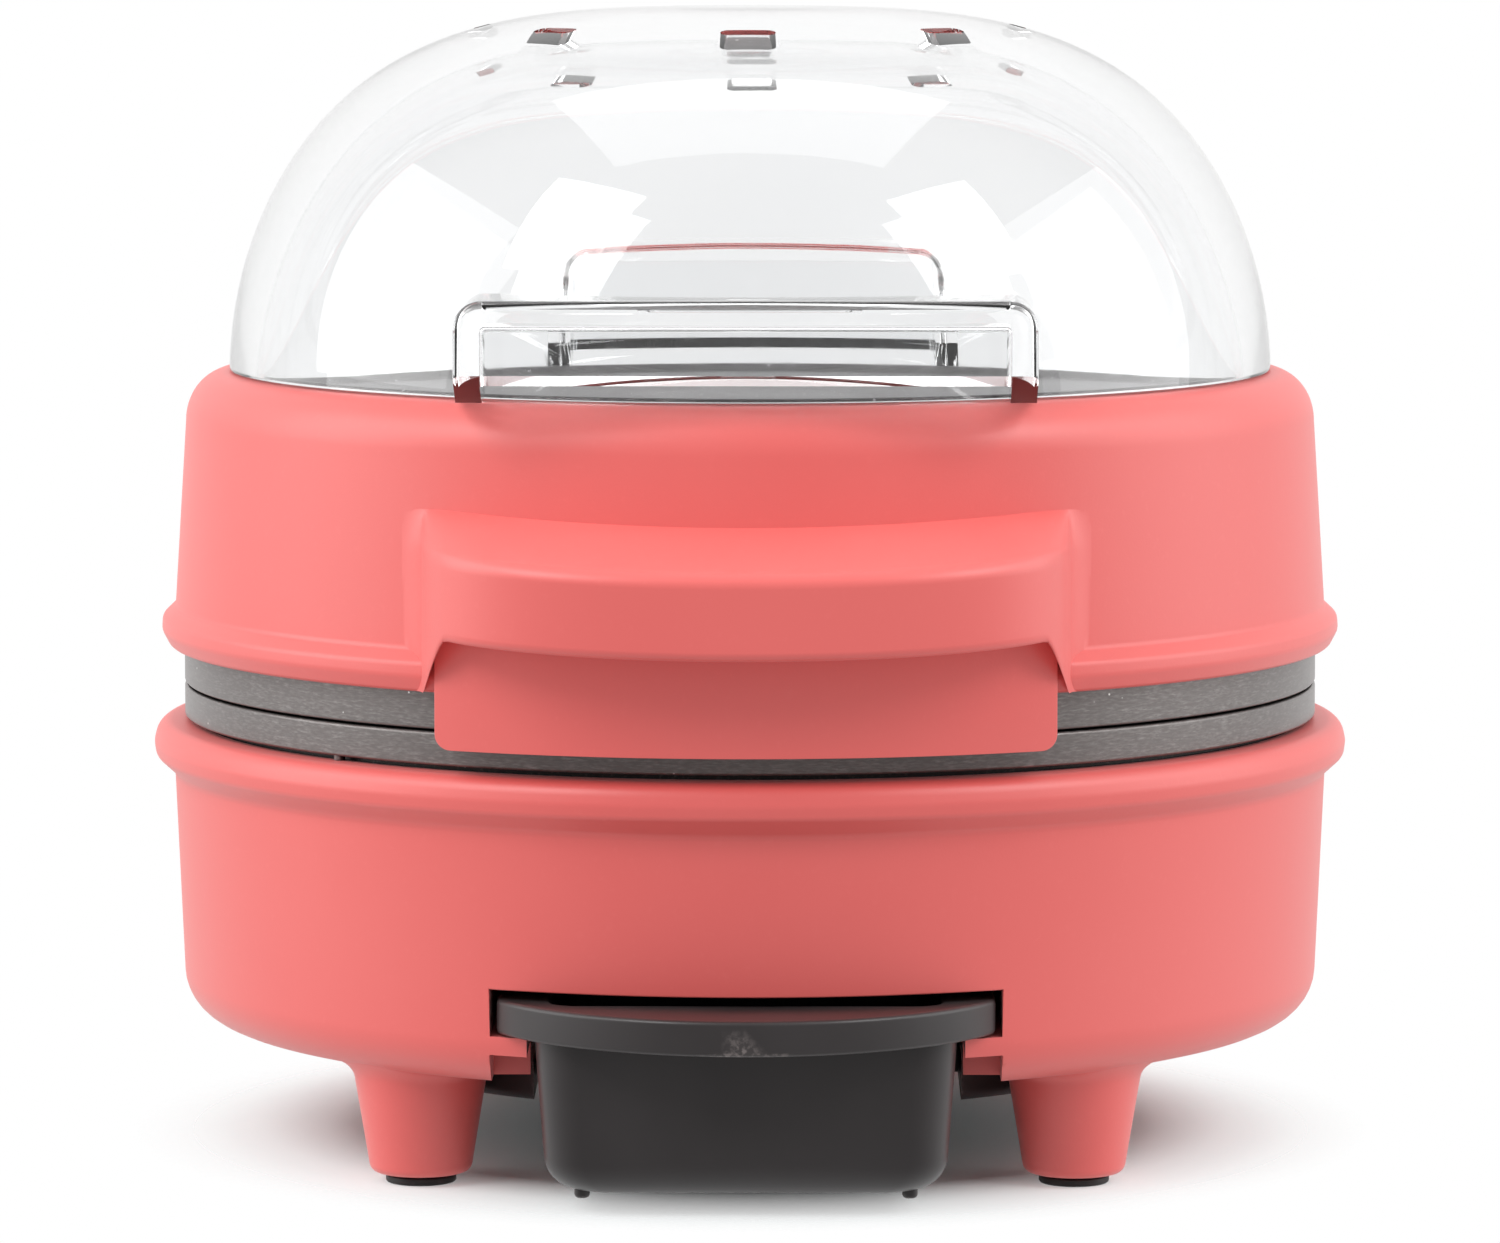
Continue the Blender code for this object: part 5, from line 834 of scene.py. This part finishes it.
def makeLidShell():
    c = lid
    low, high = c['lowRadius'] - c['wall'], c['highRadius'] - c['wall']
    shoulder = [(c['seatRadius'] + (c['highRadius'] - c['seatRadius']) * sin(a), c['shoulder'] + (c['seat'] - c['shoulder']) * cos(a))
                for a in (radians(5) * k for k in range(1, 19))]
    shell = turned('lid_shell', [
        (c['deckHole'], c['deckTop'], 0.3), (c['recess'], c['deckTop'], 0.4), (c['recess'], c['seat'], 0.3),
        (c['seatRadius'], c['seat'])] + shoulder + [
        (c['lowRadius'] + 0.05, c['beadTop'], 1.0), (c['beadRadius'] - 0.1, c['beadTop'] - 1.5, 1.0),
        (c['beadRadius'], c['beadMiddle'], 1.4), (c['beadRadius'] - 1.0, c['bottom'], 0.9), (c['rebate'], c['bottom'], 0.15),
        (c['rebate'], c['flangeTop']), (low, c['flangeTop']), (high, c['shoulder'] - 0.5, 1.0),
        (high - c['wall'], c['deckTop'] - c['deck']), (c['deckHole'], c['deckTop'] - c['deck'], 0.3),
        (c['deckHole'], c['deckTop'])])
    hollow = lidHollow()

    # the hinge knuckle and its arm
    start = -150
    eye = [(body['hingeY'] + body['knuckle'] * cos(radians(a)), body['parting'] + body['knuckle'] * sin(radians(a)))
           for a in [start + (60 - start) * k / 30 for k in range(31)]]
    outline = eye + [(c['beadRadius'] - 0.6, c['armTop'], 2.0), (low - body['knuckle'], c['armTop']),
                     (low - body['knuckle'], body['parting'] + body['knuckle'] / 2),
                     (body['hingeY'] - body['knuckle'], body['parting'] + body['knuckle'] / 2)]
    knuckle = softenWhere(slab('knuckle', outline, 'YZ', -c['knuckleEnd'], c['knuckleEnd']), 0.6, sharper=50)
    cut(knuckle, copyOf(hollow, 'hollow'))
    join(shell, knuckle)

    # the skirt: a ring cut to a window with soft corners, then softened all round
    s = skirt
    ring = turned('skirt', [
        (s['radius'] - s['thickness'], handle['lip'] + 2), (s['radius'], handle['lip'] + 2), (s['radius'], s['bottom']),
        (s['radius'] - s['thickness'], s['bottom']), (s['radius'] - s['thickness'], handle['lip'] + 2)])
    window = [(-s['halfWidth'], s['bottom'], s['corner']), (s['halfWidth'], s['bottom'], s['corner']),
              (s['halfWidth'], handle['lip'] + 4), (-s['halfWidth'], handle['lip'] + 4)]
    keep(ring, slab('window', window, 'XZ', -90, -40))
    softenWhere(ring, s['endRound'], lambda p: p.xy.length > s['radius'] - 0.1 and p.z < handle['lip'] + 1, 5)
    join(shell, ring)

    body_ = makeHandleBody()
    cut(body_, hollow)
    join(shell, body_)

    for place in lidPostPlaces:
        join(shell, pillar('post', onCircle(place), base['postRadius'], c['postLow'], c['deckTop'] - c['deck'] / 2))
        cut(shell, pillar('screw hole', onCircle(place), base['screwHole'], c['postLow'] - cutRun, c['deckTop'] + cutRun),
            pillar('head hole', onCircle(place), base['headHole'], c['headSeat'], c['deckTop'] + cutRun))
    for place in warmerScrewPlaces:
        cut(shell, pillar('warmer hole', onCircle(place), base['screwHole'], c['deckTop'] - c['deck'] - cutRun, c['deckTop'] + cutRun))
    cut(shell, pinTool(-24.0, 24.0))
    return shell


lidShell = makeLidShell()
finished(lidShell, coralFinish, 'lid', 'coral_plastic', 'lid_housing')
print('lid shell done')


# Warming plate

warmer = {'radius': 59.22, 'top': 93.0, 'rim': 0.8, 'sheet': 1.2, 'low': 89.9}


def makeWarmer():
    w = warmer
    plate = turned('warming_plate_fine', [
        (0, w['top']), (w['radius'] - 3.4, w['top'], 2.0), (w['radius'] - 1.9, w['top'] + w['rim'], 0.6),
        (w['radius'], w['top'] + w['rim'], 0.4), (w['radius'], w['low'], 0.2), (w['radius'] - w['sheet'], w['low']),
        (w['radius'] - w['sheet'], w['top'] - w['sheet'], 0.4), (0, w['top'] - w['sheet'])])
    for place in warmerScrewPlaces:
        join(plate, pillar('boss', onCircle(place), 2.6, w['low'], w['top'] - w['sheet'] / 2))
    for place in warmerScrewPlaces:
        cut(plate, pillar('thread', onCircle(place), 1.65, w['low'] - 2, w['top'] - 0.3, 24))
    return plate


warmingPlate = makeWarmer()
finished(warmingPlate, warmerFinish, 'lid', 'coated_cast_plate', 'warming_plate')


# Dome cover with its two grips and the ring of steam slots

dome = {
    'foot': 93.5, 'radius': 63.42, 'height': 43.8, 'side': 3.476, 'top': 1.872, 'wall': 3.1, 'crown': 3.8, 'steps': 44,
    'slots': 8, 'slotCircle': 32.5, 'slotLength': 6.5, 'slotWidth': 2.0,
    'gripReach': 70.6, 'gripRoot': 45.0, 'gripWall': 3.0, 'gripCorner': 3.2, 'lipRise': 3.6, 'lipSetback': 8.0,
    'frontHalf': 33.2, 'frontRise': 12.0, 'rearHalf': 27.5, 'rearRise': 16.2, 'gripEdge': 1.3,
}


def domeLine(radius, height, foot):
    points = []
    for k in range(dome['steps'] + 1):
        a = pi / 2 * (k / dome['steps']) ** 1.4
        points.append((radius * sin(a) ** (2 / dome['side']), foot + height * max(cos(a), 0) ** (2 / dome['top'])))
    points[-1] = (radius, foot)
    return points


def gripBlock(way, halfWidth, rise, inset, low):
    # one block seen from the front, its top corners rounded, its lower front cut back to the lip
    half, top = halfWidth - inset, dome['foot'] + rise - inset
    outer = dome['gripReach'] - inset
    corner = max(dome['gripCorner'] - inset, 0.6)
    outline = [(-half, low), (half, low), (half, top, corner), (-half, top, corner)]
    near, far = sorted((way * dome['gripRoot'], way * outer))
    grip = slab('grip', outline, 'XZ', near, far)
    edge = dome['gripEdge'] if not inset else 0.8
    softenWhere(grip, edge, lambda p: abs(p.y - way * outer) < 0.01 and p.z > low + 0.01, 4)
    return grip


def makeGrip(way, halfWidth, rise):
    foot = dome['foot']
    grip = gripBlock(way, halfWidth, rise, 0, foot)
    cut(grip, gripBlock(way, halfWidth, rise, dome['gripWall'], foot - cutRun))
    reach = dome['gripReach'] + 1
    setback = dome['gripReach'] - dome['lipSetback']
    rise = dome['lipRise']
    wedge = [(way * setback, foot - 0.01), (way * reach, foot - 0.01), (way * reach, foot + rise + rise / dome['lipSetback'])]
    cut(grip, slab('wedge', wedge, 'YZ', -halfWidth - cutRun, halfWidth + cutRun))
    return grip


def makeDome():
    d = dome
    cover = turned('dome_cover_fine', domeLine(d['radius'], d['height'], d['foot']) + [(0, d['foot'])])
    join(cover, makeGrip(-1, d['frontHalf'], d['frontRise']), makeGrip(1, d['rearHalf'], d['rearRise']))
    inner = domeLine(d['radius'] - d['wall'], d['height'] - d['crown'] + cutRun, d['foot'] - cutRun)
    cut(cover, turned('dome room', inner + [(0, d['foot'] - cutRun)]))
    softenWhere(cover, 0.35, lambda p: p.z < d['foot'] + 0.01, 2, 50)
    end, half = d['slotLength'] / 2, d['slotWidth'] / 2
    for index in range(d['slots']):
        angle = 360 * index / d['slots'] - 90
        slot = slab('slot', [(-end, -half, half * 0.98), (end, -half, half * 0.98), (end, half, half * 0.98), (-end, half, half * 0.98)],
                    'XY', d['foot'] + 20, d['foot'] + 50)
        edit(slot)
        bpy.ops.transform.rotate(value=-radians(angle + 90), orient_axis='Z', center_override=(0, 0, 0))
        done()
        cut(cover, shift(slot, *onCircle((d['slotCircle'], angle))))
    return cover


domeCover = makeDome()
finished(domeCover, domeFinish, 'dome', 'clear_plastic', 'dome_cover')
print('dome done')


# Drip tray

tray = {
    'front': -80.4, 'bow': 17.5, 'half': 28.7, 'lipLow': 20.7, 'lipHigh': 24.8, 'lipCorner': 2.6, 'lipEdge': 0.55,
    'bodyHalf': 24.4, 'bodyFront': -70.0, 'back': -19.8, 'bottom': 2.6, 'draft': 1.4, 'corner': 5.0,
    'wall': 1.9, 'floor': 1.8, 'lowerEdge': 4.2, 'nubX': 18.9, 'nubInset': 7.0, 'nub': 0.9,
}


def trayBody(name, inset, low, high, edge):
    # a rounded plan pushed down from the top, drawn in by its draft and its rounded lower edge
    t = tray
    half, front, back = t['bodyHalf'] - inset, t['bodyFront'] + inset, t['back'] - inset
    middle, depth = (front + back) / 2, (back - front) / 2
    corner = t['corner'] - inset
    outline = [(-half, front, corner), (half, front, corner), (half, back, corner), (-half, back, corner)]
    piece = drawLine(name, [(x, y, high) for x, y in rounded(outline, True)])
    edit(piece)
    bpy.ops.mesh.edge_face_add()
    levels = [(low + edge * (1 - sin(a)), edge * (1 - cos(a))) for a in (radians(9) * k for k in range(0, 11))]
    drawn, height = 0, high
    for z, pull in levels:
        goal = pull + t['draft'] * (t['lipHigh'] - z) / (t['lipHigh'] - t['bottom'])
        bpy.ops.mesh.extrude_region_move(TRANSFORM_OT_translate={'value': (0, 0, (z - height) * mm)})
        bpy.ops.transform.resize(value=((half - goal) / (half - drawn), (depth - goal) / (depth - drawn), 1),
                                 center_override=(0, middle * mm, z * mm))
        drawn, height = goal, z
    bpy.ops.mesh.select_all(action='SELECT')
    bpy.ops.mesh.normals_make_consistent(inside=False)
    done()
    return piece


def makeTray():
    t = tray
    bowRadius = (t['half'] ** 2 + t['bow'] ** 2) / (2 * t['bow'])
    swing = acos(1 - t['bow'] / bowRadius)
    bow = [(bowRadius * sin(a), t['front'] + bowRadius * (1 - cos(a))) for a in [swing * (k / 12) for k in range(-11, 12)]]
    corner = (t['front'] + t['bow'], t['lipCorner'])
    outline = [(-t['half'], *corner)] + bow + [(t['half'], *corner), (t['half'], t['back'], 1.5), (-t['half'], t['back'], 1.5)]
    piece = slab('drip_tray_fine', outline, 'XY', t['lipLow'], t['lipHigh'])
    softenWhere(piece, t['lipEdge'], sharper=50)
    join(piece, trayBody('tray body', 0, t['bottom'], (t['lipLow'] + t['lipHigh']) / 2, t['lowerEdge']))
    for x in (-t['nubX'], t['nubX']):
        for y in (t['bodyFront'] + t['nubInset'], t['back'] - t['nubInset']):
            join(piece, turned('nub', [(0, t['bottom'] + 1), (t['nub'], t['bottom'] + 1), (t['nub'], t['bottom'] - t['nub'], 0.5),
                                       (0, t['bottom'] - t['nub'])], 24, (x, y, 0)))
    cut(piece, trayBody('tray room', t['wall'], t['bottom'] + t['floor'], t['lipHigh'] + 2, t['lowerEdge'] - t['floor']))
    softenWhere(piece, 0.4, lambda p: abs(p.z - t['lipHigh']) < 0.01, 3, 50)
    return piece


dripTray = makeTray()
finished(dripTray, trayFinish, 'tray', 'dark_plastic', 'drip_tray')
print('tray done')


# Bottom cover and cord bush

cover = {
    'radius': 48.5, 'bottom': 9.4, 'top': 14.0, 'sheet': 1.8, 'edge': 1.4,
    'vents': 5, 'ventPitch': 7.0, 'ventWidth': 2.2, 'ventLength': 26.0, 'ventY': 8.0, 'headDepth': 2.3,
}


def makeCover():
    c = cover
    floor = c['bottom'] + c['sheet']
    plate = turned('bottom_cover_fine', [
        (0, floor), (c['radius'] - c['sheet'], floor, 0.8), (c['radius'] - c['sheet'], c['top']), (c['radius'], c['top'], 0.2),
        (c['radius'], c['bottom'], c['edge']), (0, c['bottom'])])
    side = bay['slot'] + c['sheet']
    fence = block('fence', (-side, -c['radius'] + c['sheet'], c['bottom'] + 0.5), (side, bay['back'] + c['sheet'], c['top']))
    keep(fence, pillar('fence limit', (0, 0), c['radius'] - c['sheet'] / 2, 0, 30, roundSteps))
    join(plate, fence)
    for place in coverScrewPlaces:
        join(plate, pillar('boss', onCircle(place), base['bossRadius'], floor - 1, c['top']))
    cut(plate, block('slot', (-bay['slot'], -c['radius'] - cutRun, c['bottom'] - cutRun), (bay['slot'], bay['back'], c['top'] + cutRun)))
    softenWhere(plate, 0.4, lambda p: abs(p.z - c['bottom']) < 0.01, 2, 50)
    for place in coverScrewPlaces:
        cut(plate, pillar('hole', onCircle(place), base['screwHole'], c['bottom'] - cutRun, c['top'] + cutRun),
            pillar('head room', onCircle(place), base['headHole'], c['bottom'] - cutRun, c['bottom'] + c['headDepth']))
    for index in range(c['vents']):
        x = (index - (c['vents'] - 1) / 2) * c['ventPitch']
        w, h = c['ventWidth'] / 2, c['ventLength'] / 2
        outline = [(x - w, c['ventY'] - h, w * 0.98), (x + w, c['ventY'] - h, w * 0.98), (x + w, c['ventY'] + h, w * 0.98),
                   (x - w, c['ventY'] + h, w * 0.98)]
        cut(plate, slab('vent', outline, 'XY', c['bottom'] - cutRun, floor + cutRun))
    return plate


bottomCover = makeCover()
finished(bottomCover, coverFinish, 'base', 'dark_plastic', 'bottom_cover')

bush = {'z': 25.0, 'neck': 5.0, 'flange': 7.0, 'flangeDepth': 2.2, 'bore': 3.2, 'outer': 70.0, 'inner': 63.6}


def makeBush():
    b = bush
    outer = b['outer'] + b['flangeDepth']
    return turned('cord_bush_fine', [
        (b['bore'], b['inner']), (b['bore'], outer, 0.8), (b['flange'], outer, 1.0), (b['flange'], b['outer'], 0.2),
        (b['neck'], b['outer']), (b['neck'], b['inner'], 0.4), (b['bore'], b['inner'])], 72, (0, 0, b['z']), 'Y')


cordBush = makeBush()
finished(cordBush, rubberFinish, 'base', 'black_rubber', 'cord_bush')
print('cover and bush done')


# Finishes for the CAD nodes that stay

nodeFinishes = {
    'lower_element': sheathFinish, 'upper_element': sheathFinish,
    'lower_reflector': tinFinish, 'upper_reflector': tinFinish, 'grease_chute': tinFinish,
    'base_thermostat': ceramicFinish, 'upper_thermostat': ceramicFinish, 'thermal_fuse': ceramicFinish,
    'terminal_block': ceramicFinish, 'hinge_sleeve': steelFinish, 'hinge_pin': steelFinish,
    'element_wire_left': sleeveFinish, 'element_wire_right': sleeveFinish,
    'lid_lead_lower': sleeveFinish, 'lid_lead_upper': sleeveFinish,
}
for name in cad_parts:
    if '_screw_' in name:
        nodeFinishes[name] = steelFinish
for name, finish in nodeFinishes.items():
    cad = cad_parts[name]
    for place in cad.material_slots:
        place.material = finish


# Floor, light and camera

stage = {
    'floorRadius': 0.4, 'whiteFrom': 0.048, 'whiteTo': 0.076, 'floorColour': (0.84, 0.93, 0.93),
    'ambient': 0.66, 'frontGloss': 0.35,
}


def makeFloor():
    pick()
    bpy.ops.mesh.primitive_circle_add(vertices=96, radius=stage['floorRadius'], fill_type='NGON')
    floor = bpy.context.object
    floor.name = 'floor'
    material, shader = newMaterial('pale floor', Roughness=0.9, Specular_IOR_Level=0.1)
    place = objectPlace(material)
    soft = noise(material, place, 3, 2)
    link(material, mixColour(material, mapRange(material, soft, 0.3, 0.7, 0, 1), stage['floorColour'], (0.86, 0.935, 0.935)),
         shader.inputs['Base Color'])
    distance = add(material, 'VectorMath', {0: place}, operation='LENGTH').outputs['Value']
    fade = mapRange(material, distance, stage['whiteFrom'], stage['whiteTo'], 0, 1)
    clear = add(material, 'BsdfTransparent')
    mixed = add(material, 'MixShader', {0: fade, 1: shader.outputs[0], 2: clear.outputs[0]})
    link(material, mixed.outputs[0], material.node_tree.nodes['Material Output'].inputs['Surface'])
    floor.data.materials.append(material)


def makeWorld():
    world = bpy.data.worlds.new('white studio')
    bpy.context.scene.world = world
    world.use_nodes = True
    nodes, links = world.node_tree.nodes, world.node_tree.links
    sky = nodes['Background']
    sky.inputs['Color'].default_value = (1, 1, 1, 1)
    rays = nodes.new('ShaderNodeLightPath')
    seen = nodes.new('ShaderNodeMath')
    seen.operation = 'MAXIMUM'
    links.new(rays.outputs['Is Camera Ray'], seen.inputs[0])
    links.new(rays.outputs['Is Transmission Ray'], seen.inputs[1])
    level = nodes.new('ShaderNodeMapRange')
    links.new(seen.outputs[0], level.inputs['Value'])
    level.inputs['To Min'].default_value = stage['ambient']
    level.inputs['To Max'].default_value = 1

    # reflections see a white room whose camera side is darker
    way = nodes.new('ShaderNodeTexCoord')
    parts = nodes.new('ShaderNodeSeparateXYZ')
    links.new(way.outputs['Generated'], parts.inputs[0])
    gloss = nodes.new('ShaderNodeMapRange')
    links.new(parts.outputs['Y'], gloss.inputs['Value'])
    for key, value in (('From Min', -0.85), ('From Max', 0.15), ('To Min', stage['frontGloss']), ('To Max', 1)):
        gloss.inputs[key].default_value = value
    chosen = nodes.new('ShaderNodeMix')
    links.new(rays.outputs['Is Glossy Ray'], chosen.inputs[0])
    links.new(level.outputs['Result'], chosen.inputs[2])
    links.new(gloss.outputs['Result'], chosen.inputs[3])
    links.new(chosen.outputs[0], sky.inputs['Strength'])


softboxes = {
    'left softbox': {'place': (-0.72, -0.62, 0.95), 'size': (0.45, 0.60), 'power': 5.6},
    'left wall': {'place': (-1.10, -0.05, 0.50), 'size': (0.90, 0.90), 'power': 5.6},
    'right softbox': {'place': (0.78, -0.50, 0.85), 'size': (0.40, 0.55), 'power': 4.0},
    'right wall': {'place': (1.10, 0.0, 0.45), 'size': (0.90, 0.90), 'power': 4.0},
    'top softbox': {'place': (0.0, 0.15, 1.15), 'size': (0.90, 0.70), 'power': 3.5, 'unseen': True},
}


def makeLights():
    for name, box in softboxes.items():
        pick()
        bpy.ops.object.light_add(type='AREA', location=box['place'])
        lamp = bpy.context.object
        lamp.name = name
        lamp.data.shape = 'RECTANGLE'
        lamp.data.size, lamp.data.size_y = box['size']
        lamp.data.energy = box['power']
        lamp.visible_glossy = not box.get('unseen', False)
        aim = Vector((0, 0, 0.07)) - Vector(box['place'])
        lamp.rotation_euler = aim.to_track_quat('-Z', 'Y').to_euler()


view = {'distance': 0.95, 'height': 0.1577, 'tilt': 5.745, 'turn': 0.42, 'lens': 187}


def makeCamera():
    turn = radians(view['turn'])
    pick()
    bpy.ops.object.camera_add(location=(view['distance'] * sin(turn), -view['distance'] * cos(turn), view['height']),
                              rotation=(radians(90 - view['tilt']), 0, turn))
    camera = bpy.context.object
    camera.data.lens = view['lens']
    bpy.context.scene.camera = camera


makeFloor()
makeWorld()
makeLights()
makeCamera()
bpy.context.scene.view_settings.view_transform = 'Standard'
print('floor, light and camera done')
